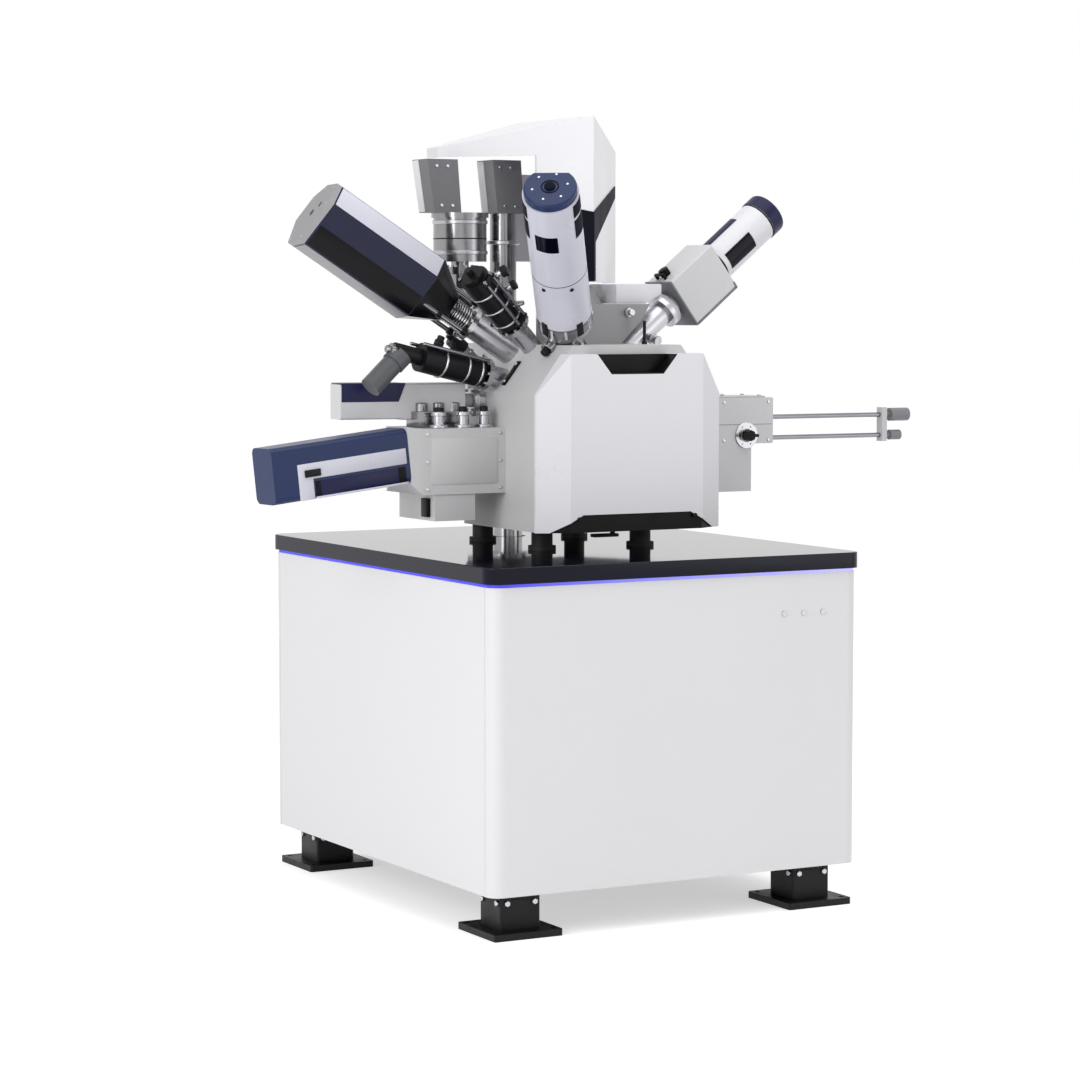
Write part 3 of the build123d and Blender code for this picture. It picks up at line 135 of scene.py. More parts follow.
# Light: lamps are name, place, width in metres and watts
WORLD_LIGHT = 0.57
FLOOR_LIFT = 0.52
LAMPS = (("left_soft_box", (-6.0, -2.6, 3.0), 3.5, 163), ("top_soft_box", (0.5, -1.0, 5.0), 4.0, 66),
         ("right_soft_box", (4.5, -5.5, 2.0), 3.5, 36))
LAMP_TARGET = Vector((0, 0, 1.0))


# Materials
def linear(code):
    """An sRGB hex colour as linear light, fully opaque."""
    parts = [int(code[i : i + 2], 16) / 255 for i in (1, 3, 5)]
    return [c / 12.92 if c <= 0.04045 else ((c + 0.055) / 1.055) ** 2.4 for c in parts] + [1.0]


def add(tree, kind, settings=None, inputs=None):
    """Adds one node; an input is a plain value or the socket that feeds it."""
    node = tree.nodes.new(kind)
    for name, value in (settings or {}).items():
        setattr(node, name, value)
    for name, value in (inputs or {}).items():
        if isinstance(value, bpy.types.NodeSocket):
            tree.links.new(value, node.inputs[name])
        else:
            node.inputs[name].default_value = value
    return node


def blend(tree, factor, first, second):
    """Mixes two sRGB hex colours; the node's own sockets 6, 7 and 2 are its colours and their mixture."""
    node = add(tree, "ShaderNodeMix", {"data_type": "RGBA"}, {"Factor": factor})
    node.inputs[6].default_value = linear(first)
    node.inputs[7].default_value = linear(second)
    return node


def surface(name, colour, second=None, metallic=0.0, roughness=0.5, spread=0.06, grain=1.0, depth=0.02,
            mottle=90, stretch=(1, 1, 1), shader=None):
    """A finish with a fine grain in the bump and slow changes of shade and gloss.
    grain and mottle are sizes in millimetres and depth is the grain's height.
    shader holds plain shader values."""
    material = bpy.data.materials.new(name)
    material.use_nodes = True
    tree = material.node_tree
    tree.nodes.clear()
    spot = add(tree, "ShaderNodeTexCoord")
    pulled = add(tree, "ShaderNodeMapping", None, {"Vector": spot.outputs["Object"], "Scale": stretch})
    fine = add(tree, "ShaderNodeTexNoise", None,
               {"Vector": pulled.outputs[0], "Scale": 1000 / grain, "Detail": 3.0, "Roughness": 0.6})
    slow = add(tree, "ShaderNodeTexNoise", None,
               {"Vector": spot.outputs["Object"], "Scale": 1000 / mottle, "Detail": 4.0, "Roughness": 0.55})
    shade = blend(tree, slow.outputs[0], second or colour, colour)
    gloss = add(tree, "ShaderNodeMapRange", None,
                {"Value": slow.outputs[0], "From Min": 0.3, "From Max": 0.7,
                 "To Min": max(roughness - spread, 0.02), "To Max": roughness + spread})
    bump = add(tree, "ShaderNodeBump", None,
               {"Height": fine.outputs[0], "Distance": depth * MM, "Strength": 1.0})
    values = {"Base Color": shade.outputs[2], "Metallic": metallic, "Roughness": gloss.outputs[0],
              "Normal": bump.outputs[0]}
    values.update(shader or {})
    body = add(tree, "ShaderNodeBsdfPrincipled", None, values)
    add(tree, "ShaderNodeOutputMaterial", None, {"Surface": body.outputs[0]})
    return material


# Powder-coated sheet steel: nearly white, with the faint orange peel of a baked coat, about 2 mm across
powder_white = surface("powder_coat_white", "#eeeeef", "#e8e8ea", roughness=0.42, grain=2.2, depth=0.035,
                       mottle=420)
# Powder-coated steel, black and a little rough, so that edges show as a grey sheen; peel drawn 2.5 mm coarse
powder_black = surface("powder_coat_black", "#0e0e10", "#09090b", roughness=0.44, grain=2.5, depth=0.07,
                       mottle=60, shader={"Specular IOR Level": 0.25})
# Textured powder coat on the frame inside: a flat dark grey
frame_grey = surface("powder_coat_grey", "#46464a", "#3c3c40", roughness=0.5, grain=2.0, depth=0.06)
# Enamelled module cases: mid grey and half matt
rack_grey = surface("rack_enamel_grey", "#86868b", "#7c7c82", roughness=0.45, grain=1.6, depth=0.03)
# Polished and lacquered black top: a mirror at low angles, with faint flow marks
gloss_black = surface("lacquered_black_top", "#08081a", "#0b0b20", roughness=0.055, spread=0.015, grain=60,
                      depth=0.012, mottle=260, shader={"IOR": 1.5, "Specular IOR Level": 0.22})
# Two-pack paint sprayed over aluminium shells: soft satin white, almost no texture
satin_white = surface("satin_paint_white", "#ececf0", "#e6e6ea", roughness=0.33, grain=3.0, depth=0.015,
                      mottle=240, shader={"Coat Weight": 0.15, "Coat Roughness": 0.2})
# The same paint in a cooler white, which reads as pale lavender beside the navy
satin_lavender = surface("satin_paint_cool_white", "#dddde8", "#d4d4e0", roughness=0.3, grain=3.0,
                         depth=0.015, mottle=200)
# Paint on a bead-blasted vacuum chamber: pale grey satin with a slight cast look
chamber_grey = surface("chamber_paint_grey", "#d0d0d0", "#c8c8c9", roughness=0.4, grain=2.4, depth=0.03,
                       mottle=150)
# Paint on sheet metal boxes: smoother and a shade lighter than the chamber
box_grey = surface("box_paint_grey", "#dededf", "#d6d6d8", roughness=0.38, grain=2.4, depth=0.02, mottle=110)
# Baked enamel on a motor case: dark grey, half matt
motor_grey = surface("enamel_dark_grey", "#58595c", "#4e4f53", roughness=0.42, grain=2.0, depth=0.02,
                     mottle=50)
# Baked enamel on knobs and trim plates: mid grey, half matt
dark_grey = surface("enamel_mid_grey", "#85868a", "#7a7b80", roughness=0.4, grain=2.0, depth=0.02, mottle=60)
# Painted iron of the lens block: an even grey with a soft sheen
lens_grey = surface("lens_paint_grey", "#9d9d9e", "#939395", roughness=0.36, grain=2.2, depth=0.02, mottle=90)
# Painted magnet cases: a darker grey, a little uneven
magnet_grey = surface("magnet_paint_grey", "#77777a", "#6c6c70", roughness=0.42, grain=2.2, depth=0.03,
                      mottle=70)
# Satin navy paint: blue in the light with a pale sheen
satin_navy = surface("satin_paint_navy", "#22325f", "#1b2a52", roughness=0.34, grain=2.6, depth=0.012,
                     mottle=120, shader={"Specular IOR Level": 0.3})
# Satin paint of caps and strips: a darker navy, close to violet
deep_navy = surface("satin_paint_deep_navy", "#1d2048", "#181b3e", roughness=0.34, grain=2.6, depth=0.012,
                    mottle=100, shader={"Specular IOR Level": 0.25})
# Gloss navy paint: nearly black, with sharp bright reflections
gloss_navy = surface("gloss_paint_navy", "#20233f", "#1a1d36", roughness=0.2, spread=0.03, grain=4.0,
                     depth=0.01, mottle=160, shader={"Specular IOR Level": 0.25})
# Gloss black paint: dim and sharp reflections
gloss_black_paint = surface("gloss_paint_black", "#07070a", "#0a0a0e", roughness=0.2, spread=0.03, grain=4.0,
                            depth=0.01, shader={"Specular IOR Level": 0.18})
# Matt trim paint: navy black, with hardly any sheen
trim_navy = surface("trim_paint_navy_black", "#161624", "#12121e", roughness=0.58, grain=2.6, depth=0.012,
                    mottle=120, shader={"Specular IOR Level": 0.05})
# Moulded black plastic: fine even grain
moulded_black = surface("moulded_plastic_black", "#09090b", "#060608", roughness=0.4, grain=1.2, depth=0.03,
                        mottle=40, shader={"Specular IOR Level": 0.15})
# Moulded rubber: matt black, coarser than the plastic
rubber_black = surface("moulded_rubber_black", "#0e0e0f", "#131314", roughness=0.62, grain=1.4, depth=0.05,
                       mottle=30)
# Stainless steel turned on a lathe: fine rings round the axis, drawn 1.2 mm apart so that they show
steel_turned = surface("turned_stainless_steel", "#c9c9cb", "#b9b9bd", metallic=1.0, roughness=0.24,
                       spread=0.05, grain=14, depth=0.02, mottle=70, stretch=(0.15, 0.15, 12))
# Ground stainless steel: bright, its reflections a little scattered in all directions
steel_ground = surface("ground_stainless_steel", "#c6c6c9", "#b4b4ba", metallic=1.0, roughness=0.28,
                       spread=0.07, grain=2.0, depth=0.015, mottle=40)
# Electropolished stainless steel: darker, with clearer reflections
steel_dark = surface("electropolished_steel", "#a4a2a2", "#8e8c90", metallic=1.0, roughness=0.2, spread=0.06,
                     grain=3.0, depth=0.012, mottle=45)
# Bead-blasted cast aluminium: dull grey with a fine even tooth
alu_blasted = surface("bead_blasted_aluminium", "#a2a2a4", "#969699", metallic=0.85, roughness=0.5, grain=1.3,
                      depth=0.05, mottle=60)
# Milled aluminium: bright, with cutter lines drawn 1.3 mm apart so that they show
alu_machined = surface("milled_aluminium", "#cdcdd0", "#c0c0c4", metallic=1.0, roughness=0.32, grain=10,
                       depth=0.02, mottle=50, stretch=(8, 0.2, 0.2))
# Black anodised aluminium: a metallic dark grey gloss on the edges
anodised = surface("black_anodised_aluminium", "#17171a", "#101012", metallic=0.35, roughness=0.4, grain=1.2,
                   depth=0.03, mottle=40, shader={"Specular IOR Level": 0.3})
# Hard chromed and ground rods: a dark mirror with faint lines along the rod, drawn 0.8 mm apart
chrome = surface("ground_chromed_rod", "#8f8f94", "#7f7f86", metallic=1.0, roughness=0.12, spread=0.03,
                 grain=10, depth=0.006, mottle=80, stretch=(0.2, 12, 12))
# Smoked glass of the sight windows: black, with a clear reflection
dark_glass = surface("smoked_glass", "#050510", "#08081a", roughness=0.12, spread=0.02, grain=30, depth=0.004,
                     shader={"Specular IOR Level": 0.15})


def shader_nodes(material):
    """A finish's shader and its coordinates."""
    kinds = {node.type: node for node in material.node_tree.nodes}
    return kinds["BSDF_PRINCIPLED"], kinds["TEX_COORD"]


def banded(material, frame, edge, colour):
    """Paints what lies below an edge along a frame's z in a second colour, as at a masked paint line."""
    tree = material.node_tree
    body, spot = shader_nodes(material)
    out = frame.to_3x3() @ Vector((0, 0, 1))
    start = frame @ Vector((0, 0, edge))
    away = add(tree, "ShaderNodeVectorMath", {"operation": "SUBTRACT"}, {0: spot.outputs["Object"], 1: start})
    reach = add(tree, "ShaderNodeVectorMath", {"operation": "DOT_PRODUCT"},
                {0: away.outputs[0], 1: out.normalized()})
    past = add(tree, "ShaderNodeMath", {"operation": "GREATER_THAN"}, {0: reach.outputs["Value"], 1: 0.0})
    paint = blend(tree, past.outputs[0], colour, colour)
    tree.links.new(body.inputs["Base Color"].links[0].from_socket, paint.inputs[7])
    tree.links.new(paint.outputs[2], body.inputs["Base Color"])


def diffuser(name, colour, far, strength):
    """Opal light guide lit from one end: its glow fades and pales along X."""
    material = surface(name, colour, roughness=0.4, grain=3.0, depth=0.01)
    tree = material.node_tree
    body, spot = shader_nodes(material)
    split = add(tree, "ShaderNodeSeparateXYZ", None, {"Vector": spot.outputs["Object"]})
    reach = add(tree, "ShaderNodeMapRange", None,
                {"Value": split.outputs["X"], "From Min": STRIP_ENDS_M[0], "From Max": STRIP_ENDS_M[1]})
    glow = blend(tree, reach.outputs[0], colour, far)
    tree.links.new(glow.outputs[2], body.inputs["Base Color"])
    tree.links.new(glow.outputs[2], body.inputs["Emission Color"])
    body.inputs["Emission Strength"].default_value = strength
    return material


# The spectrometer's neck is masked and black below this height along its axis
banded(gloss_navy, EDS, 487, "#0b0b0f")
# Opal acrylic over violet-blue lamps
opal_blue = diffuser("opal_light_guide", "#3a35c8", "#a9a8ec", 0.9)

node_finish = {
    powder_black: ["feet"],
    frame_grey: ["cabinet_frame"],
    powder_white: ["front_panel", "left_panel", "right_panel", "rear_panel"],
    opal_blue: ["light_strip"],
    gloss_black: ["table_slab"],
    steel_ground: ["button_1", "button_2", "button_3", "port_flanges", "gate_plate", "flange_bolts",
                   "door_plate"],
    rack_grey: ["rack_modules"],
    steel_turned: ["pump_neck", "column_barrel", "electron_gun", "ion_column"],
    steel_dark: ["getter_pump", "eds_tube"],
    alu_blasted: ["turbo_housing", "eds_end_cap"],
    motor_grey: ["side_detector_motor"],
    dark_grey: ["transfer_knobs"],
    alu_machined: ["turbo_rotor", "stage_base", "stage_y_slide", "stage_x_slide", "stage_z_lift",
                   "stage_tilt_cradle", "stage_turntable", "specimen_stub"],
    rubber_black: ["isolators", "door_seal"],
    chamber_grey: ["chamber_body", "left_port_box", "end_bracket"],
    box_grey: ["load_lock_box", "rear_detector", "manipulator_box"],
    satin_white: ["door_cover", "column_cover", "manipulator_body"],
    satin_lavender: ["ion_cover"],
    moulded_black: ["door_grip", "door_skirt", "valve_knob"],
    chrome: ["door_guide_rods", "transfer_rods"],
    lens_grey: ["objective_lens"],
    trim_navy: ["cover_trim"],
    satin_navy: ["ion_cap", "camera_detector"],
    deep_navy: ["manipulator_cap"],
    gloss_navy: ["eds_housing"],
    anodised: ["gas_injector", "side_detector"],
    magnet_grey: ["getter_magnets"],
}
for material, names in node_finish.items():
    for name in names:
        mesh = cad_nodes[name].data
        mesh.materials.clear()
        mesh.materials.append(material)


# Making pieces
SMOOTH_BELOW = math.radians(32)
ROUNDED_FROM = 0.6
WELD = 0.002
SLIVER = 0.001
RIB_DEPTH = 0.8


def soften(shape, size, segments=2):
    """Rounds the edges where two faces turn by more than ROUNDED_FROM, in radians."""
    edges = [e for e in shape.edges if len(e.link_faces) == 2 and e.calc_face_angle(0) > ROUNDED_FROM]
    if size and edges:
        bmesh.ops.bevel(shape, geom=edges, offset=size, segments=segments, profile=0.5, affect="EDGES",
                        material=-1, clamp_overlap=True)


def lathe(shape, profile, frame, steps=40, sweep=360.0, start=0.0):
    """Spins a closed profile of (radius, height) about the frame's z; a part turn gives a closed segment."""
    turn = Matrix.Rotation(math.radians(start), 4, "Z")
    corners = [shape.verts.new(turn @ Vector((r, 0, t))) for r, t in profile]
    full = sweep >= 360
    if full:
        edges = [shape.edges.new((corners[i], corners[(i + 1) % len(corners)])) for i in range(len(corners))]
        geometry = corners + edges
    else:
        face = shape.faces.new(corners)
        geometry = corners + list(face.edges) + [face]
    bmesh.ops.spin(shape, geom=geometry, cent=(0, 0, 0), axis=(0, 0, 1), angle=math.radians(sweep),
                   steps=steps, use_merge=full)
    bmesh.ops.remove_doubles(shape, verts=shape.verts, dist=WELD)
    bmesh.ops.dissolve_degenerate(shape, dist=SLIVER, edges=shape.edges)
    bmesh.ops.transform(shape, matrix=frame, verts=shape.verts)


def raise_faces(shape, height):
    """Extrudes all faces along z and gives the faces on top."""
    raised = bmesh.ops.extrude_face_region(shape, geom=list(shape.faces))
    top = [v for v in raised["geom"] if isinstance(v, bmesh.types.BMVert)]
    bmesh.ops.translate(shape, verts=top, vec=(0, 0, height))
    return [f for f in raised["geom"] if isinstance(f, bmesh.types.BMFace)]


def slab(shape, outline, low, high, frame, edge=1.0):
    """An outline in x and y, extruded from low to high along z with rounded edges."""
    shape.faces.new([shape.verts.new((x, y, low)) for x, y in outline])
    raise_faces(shape, high - low)
    soften(shape, edge)
    bmesh.ops.transform(shape, matrix=frame, verts=shape.verts)


def block(x, y, z, frame=WORLD, edge=1.0):
    """A box between two values on each axis, as one shape to be added."""
    outline = [(x[0], y[0]), (x[1], y[0]), (x[1], y[1]), (x[0], y[1])]
    return lambda shape: slab(shape, outline, z[0], z[1], frame, edge)


def turned(profile, frame, steps=40, sweep=360.0, start=0.0):
    """A lathe shape to be added."""
    return lambda shape: lathe(shape, profile, frame, steps, sweep, start)


def plate(outline, low, high, frame, edge=0.8):
    """A slab to be added."""
    return lambda shape: slab(shape, outline, low, high, frame, edge)


def pin(radius, low, high, frame, edge=0.8, steps=32):
    """A turned pin with chamfered ends."""
    edge = min(edge, radius * 0.45, (high - low) * 0.45)
    profile = [(0, low), (radius - edge, low), (radius, low + edge), (radius, high - edge),
               (radius - edge, high), (0, high)]
    return lambda shape: lathe(shape, profile, frame, steps)


def collar(inner, outer, low, high, frame, edge=0.8, steps=40):
    """A turned ring with chamfered rims."""
    edge = min(edge, (outer - inner) * 0.4, (high - low) * 0.4)
    profile = [(inner, low), (outer - edge, low), (outer, low + edge), (outer, high - edge),
               (outer - edge, high), (inner, high)]
    return lambda shape: lathe(shape, profile, frame, steps)


def knurled(radius, low, high, frame, ribs=28):
    """A knob with a ribbed rim."""
    def make(shape):
        bmesh.ops.create_circle(shape, cap_ends=True, radius=radius, segments=ribs * 2,
                                matrix=Matrix.Translation((0, 0, low)))
        ring = list(shape.verts)
        for number, vertex in enumerate(ring):
            if number % 2:
                vertex.co.x *= 1 - RIB_DEPTH / radius
                vertex.co.y *= 1 - RIB_DEPTH / radius
        cap = raise_faces(shape, high - low)
        bmesh.ops.inset_region(shape, faces=cap, thickness=radius * 0.18, depth=radius * 0.06)
        bmesh.ops.transform(shape, matrix=frame, verts=shape.verts)
    return make


def hexagon(size, low, high, frame, edge=0.6):
    """A six-sided nut or head, size across its corners."""
    def make(shape):
        bmesh.ops.create_circle(shape, cap_ends=True, radius=size / 2, segments=6,
                                matrix=Matrix.Translation((0, 0, low)))
        raise_faces(shape, high - low)
        soften(shape, edge, 1)
        bmesh.ops.transform(shape, matrix=frame, verts=shape.verts)
    return make


def piece(name, body, slot, material, *makers):
    """Joins the makers' closed shapes in one mesh that rides on a body."""
    whole = bpy.data.meshes.new(name)
    total = bmesh.new()
    for make in makers:
        shape = bmesh.new()
        make(shape)
        bmesh.ops.recalc_face_normals(shape, faces=shape.faces)
        part_mesh = bpy.data.meshes.new(name + "_part")
        shape.to_mesh(part_mesh)
        shape.free()
        total.from_mesh(part_mesh)
        bpy.data.meshes.remove(part_mesh)
    total.to_mesh(whole)
    total.free()
    whole.materials.append(material)
    whole.set_sharp_from_angle(angle=SMOOTH_BELOW)
    for polygon in whole.polygons:
        polygon.use_smooth = True
    made = bpy.data.objects.new(name, whole)
    bpy.context.scene.collection.objects.link(made)
    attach(made, body)
    return made


def ring_of(count, radius, start=0.0):
    """Places round an axis, as (x, y)."""
    turns = [math.radians(start + 360 * n / count) for n in range(count)]
    return [(radius * math.cos(a), radius * math.sin(a)) for a in turns]


def shifted(frame, x, y):
    """The same frame, moved along its own x and y."""
    return frame @ Matrix.Translation((x, y, 0))


def sideways(frame, z, angle):
    """A frame at a height on an axis, whose z looks away from the axis at an angle round it."""
    a = math.radians(angle)
    out = Vector((math.cos(a), math.sin(a), 0))
    along_axis = Vector((0, 0, 1))
    side = out.cross(along_axis)
    turn = Matrix((side, along_axis, out)).transposed().to_4x4()
    return frame @ Matrix.Translation((0, 0, z)) @ turn


# Camera detector: white L-shaped panel and a dark lower strip on both sides of the navy case
CAM_FLANK = CAM @ Matrix(((0, 0, 1, 0), (0, 1, 0, 0), (-1, 0, 0, 0), (0, 0, 0, 1)))
panel = [(-809, 20), (-514, 20), (-514, -17), (-770, -17), (-770, -65), (-809, -65)]
sill = [(-766, -60), (-514, -60), (-514, -65), (-766, -65)]
strip = [(-764, -24), (-520, -24), (-520, -57), (-764, -57)]
outer_end = [(-764.6, -23.4), (-752, -23.4), (-752, -57.6), (-764.6, -57.6)]
inner_end = [(-540, -23.4), (-519.4, -23.4), (-519.4, -57.6), (-540, -57.6)]
for side, face, ends in (("front", (45.0, 47.4), (45.0, 47.9)), ("rear", (-47.4, -45.0), (-47.9, -45.0))):
    piece(f"camera_panel_{side}", "camera", "white_shell", satin_lavender,
          plate(panel, *face, CAM_FLANK, 1.0), plate(sill, *face, CAM_FLANK, 0.8))
    piece(f"camera_lower_strip_{side}", "camera", "navy_paint", deep_navy,
          plate(strip, *face, CAM_FLANK, 1.0))
    piece(f"camera_strip_ends_{side}", "camera", "black_trim", moulded_black,
          plate(outer_end, *ends, CAM_FLANK, 0.6), plate(inner_end, *ends, CAM_FLANK, 0.6))
piece("camera_socket", "camera", "black_anodised", anodised,
      plate([(-792, -12), (-750, -12), (-750, 5), (-792, 5)], 46, 52, CAM_FLANK, 1.6))
piece("camera_end_screws", "camera", "stainless", steel_ground,
      *[pin(3.2, 872.2, 873.6, shifted(CAM, x, y), 0.4, 16) for x in (-36, 36) for y in (-56, 56)])

# Rear detector: navy band over the pale case
band = [(-41.4, 0), (41.4, 0), (41.4, 45.4), (-41.4, 45.4)]
piece("rear_detector_band", "rear_probe", "navy_paint", deep_navy, plate(band, 472, 614, REAR, 1.6))
REAR_FLANK = REAR @ Matrix(((0, 0, 1, 0), (0, 1, 0, 0), (1, 0, 0, 0), (0, 0, 0, 1)))
piece("rear_detector_foot", "rear_probe", "navy_paint", deep_navy,
      plate([(470, 0), (474, 0), (474, 45), (452, 45)], -41.4, 41.4, REAR_FLANK, 1.0))

# X-ray detector: panels on the navy case, and its guide rods
EDS_OUTLINE = ((-40, -85), (36, -79), (78, 29), (60, 80), (-8, 78), (-58, 45), (-82, -20))
PANEL_PROUD = 1.4
PANEL_EDGE = 0.7


def face_plate(first, second, start, end, low, high):
    """A thin plate on one face of the case, between two shares of that face's width."""
    a, b = Vector(first), Vector(second)
    p, q = a.lerp(b, start), a.lerp(b, end)
    normal = Vector(((b - a).y, -(b - a).x)).normalized()
    outline = [p - normal, q - normal, q + normal * PANEL_PROUD, p + normal * PANEL_PROUD]
    return plate([tuple(v) for v in outline], low, high, EDS, PANEL_EDGE)


piece("spectrometer_side_panel", "spectrometer", "white_shell", satin_lavender,
      face_plate(EDS_OUTLINE[2], EDS_OUTLINE[3], 0.06, 0.97, 490, 796))
piece("spectrometer_black_panel", "spectrometer", "black_trim", gloss_black_paint,
      face_plate(EDS_OUTLINE[1], EDS_OUTLINE[2], 0.03, 0.5, 488, 794))
piece("spectrometer_lower_panel", "spectrometer", "cast_aluminium", alu_blasted,
      face_plate(EDS_OUTLINE[0], EDS_OUTLINE[1], 0.05, 0.96, 490, 796))
piece("spectrometer_end_slot", "spectrometer", "black_trim", moulded_black,
      plate([(18, 18), (27, 15), (31, 28), (22, 31)], 811, 814.3, EDS, 0.5))
piece("spectrometer_end_screws", "spectrometer", "stainless", steel_ground,
      *[pin(2.6, 813.2, 814.6, shifted(EDS, x, y), 0.3, 16)
        for x, y in ((30, -68), (66, 26), (51, 70), (-6, 68), (-49, 40), (-71, -18), (-34, -74))])
piece("spectrometer_guides", "base", "chromed_rod", chrome,
      *[pin(6, 342, 480, shifted(EDS, x, y), 1) for x, y in SPECTROMETER_RODS])
piece("spectrometer_collars", "base", "black_anodised", anodised,
      *[pin(9.5, low, high, shifted(EDS, x, y), 1)
        for low, high in ((342, 356), (420, 432)) for x, y in SPECTROMETER_RODS])
piece("spectrometer_bellows", "base", "stainless", steel_dark,
      *[collar(24.3, 33, t, t + 4.5, EDS, 1.4) for t in range(346, 394, 7)])

# Ion column: sight window, strips, cap plug and fittings
piece("ion_window_glass", "base", "black_trim", dark_glass,
      turned([(62, 590), (66.9, 590), (66.9, 640), (62, 640)], ION, 16, 48, -126))
piece("ion_side_strips", "base", "navy_paint", trim_navy,
      *[turned([(64, low), (67.3, low), (67.3, high), (64, high)], ION, 12, 36, start)
        for start, low, high in ION_STRIPS])
piece("ion_cap_plug", "base", "navy_paint", trim_navy, knurled(13, 741, 746, ION, 20),
      collar(18, 21, 741.4, 743, ION, 0.5))
piece("ion_cap_screws", "base", "stainless", steel_ground,
      *[pin(3, 741.2, 743, shifted(ION, x, y), 0.4, 16) for x, y in ring_of(6, 41, 12)])
piece("ion_seams", "base", "black_trim", moulded_black,
      turned([(64.6, 470), (66.25, 470), (66.25, 472), (64.6, 472)], ION, 64))
piece("ion_latches", "base", "black_anodised", anodised,
      *[pin(5, 62, 68.5, sideways(ION, 455, angle), 1.2, 24) for angle in (-60, -120, 60, 120)])
piece("ion_flange_sleeve", "base", "stainless", steel_dark,
      *[turned([(65, 288), (67.4, 288), (67.4, 314), (65, 314)], ION, 8, 24, angle)
        for angle in range(-170, 10, 30)],
      turned([(65, 315), (67, 315), (67, 318), (65, 318)], ION, 64))
piece("ion_flange_brackets", "base", "black_anodised", anodised,
      *[turned([(65.5, 290), (69, 290), (69, 330), (65.5, 330)], ION, 8, 14, angle)
        for angle in (-136, -58, 40, 130)])
piece("ion_flange_ring", "base", "stainless", steel_ground,
      collar(50, 61, 286.2, 292, ION, 1.2), collar(46, 52, 292, 300, ION, 1.2))
piece("ion_feedthroughs", "base", "stainless", steel_dark,
      *[pin(15, 48, 80, sideways(ION, 262, angle), 2.0) for angle in ION_FEEDTHROUGHS],
      *[collar(9, 17, 74, 86, sideways(ION, 262, angle), 1.4) for angle in ION_FEEDTHROUGHS])
piece("ion_feedthrough_plugs", "base", "black_anodised", anodised,
      *[pin(10, 84, 100, sideways(ION, 262, angle), 2.0) for angle in ION_FEEDTHROUGHS])

# Gas injector: motor knob, valves and clamp rings
piece("gas_injector_rings", "gas_needle", "stainless", steel_ground,
      *[collar(35.4, 38.5, t, t + 5, GAS, 1.0) for t in (322, 372, 424)])
piece("gas_injector_valve", "gas_needle", "stainless", steel_dark,
      pin(8, 34, 62, sideways(GAS, 448, 35), 1.5), pin(8, 34, 60, sideways(GAS, 398, 35), 1.5),
      pin(6, 34, 64, sideways(GAS, 350, 20), 1.5))
piece("gas_injector_knobs", "gas_needle", "black_trim", moulded_black,
      knurled(14, 62, 76, sideways(GAS, 448, 35), 20),
      knurled(12, 60, 71, sideways(GAS, 398, 35), 18))
piece("gas_injector_rods", "gas_needle", "chromed_rod", chrome,
      *[pin(4.5, 300, 476, shifted(GAS, x, y), 1.0, 20) for x, y in ((42, -16), (42, 14), (-42, -6))])
piece("gas_injector_yokes", "gas_needle", "black_anodised", anodised,
      *[plate([(-47, -22), (47, -22), (47, 20), (-47, 20)], t, t + 8, GAS, 2.0) for t in (308, 460)])

# Side detector: rings, drive knob and connector
piece("side_detector_rings", "side_probe", "stainless", steel_ground,
      *[collar(34.4, 38, t, t + 5, SIDE, 1.0) for t in (292, 330, 395)])
piece("side_detector_connector", "side_probe", "black_anodised", anodised,
      pin(12, 33, 52, sideways(SIDE, 420, 70), 1.5), pin(9, 52, 63, sideways(SIDE, 420, 70), 1.5),
      pin(7, 33, 60, sideways(SIDE, 360, 110), 1.5))
piece("side_detector_end_knob", "side_probe", "stainless", steel_dark,
      knurled(16, 530, 541, SIDE, 22), pin(9, 541, 552, SIDE, 1.5))
piece("side_detector_rods", "side_probe", "chromed_rod", chrome,
      *[pin(4.5, 280, 470, shifted(SIDE, x, y), 1.0, 20) for x, y in ((30, 30), (-30, 30))])

# Manipulator: windows on the motor case, handle, knob and dark rims
piece("manipulator_window", "manipulator", "black_trim", dark_glass,
      turned([(51, 549), (54.2, 549), (54.2, 643), (51, 643)], MANIPULATOR, 20, 48, 160))
piece("manipulator_top_window", "manipulator", "navy_paint", deep_navy,
      turned([(51, 540), (54.6, 540), (54.6, 652), (51, 652)], MANIPULATOR, 12, 26, 82))
piece("manipulator_rear_window", "manipulator", "black_trim", dark_glass,
      turned([(51, 561), (54.2, 561), (54.2, 652), (51, 652)], MANIPULATOR, 20, 46, -20))
piece("manipulator_joint_line", "manipulator", "black_trim", moulded_black,
      collar(50, 54.4, 528.2, 534, MANIPULATOR, 0.5), collar(50, 53.9, 709, 713, MANIPULATOR, 0.5))
piece("manipulator_case_plates", "base", "black_trim", dark_grey,
      plate([(-57, -68), (57, -68), (57, 68), (-57, 68)], 371, 376, MANIPULATOR, 1.2),
      plate([(-55.5, -70), (55.5, -70), (55.5, -65), (-55.5, -65)], 376, 528, MANIPULATOR, 1.2),
      plate([(-57, -68), (57, -68), (57, -50), (-57, -50)], 524, 529, MANIPULATOR, 1.2))
piece("manipulator_handle", "base", "black_trim", moulded_black,
      plate([(-20, 66), (-14, 66), (-14, 76), (14, 76), (14, 66), (20, 66), (20, 82), (-20, 82)], 384, 392,
            MANIPULATOR, 1.6),
      knurled(13, 66, 84, sideways(MANIPULATOR, 404, 90), 20))
piece("manipulator_cap_screws", "manipulator", "stainless", steel_ground,
      *[pin(3, 752.2, 754.2, shifted(MANIPULATOR, x, y), 0.4, 16) for x, y in ring_of(6, 40, 20)])
piece("manipulator_cap_plug", "manipulator", "navy_paint", trim_navy, knurled(12, 752, 756, MANIPULATOR, 18))

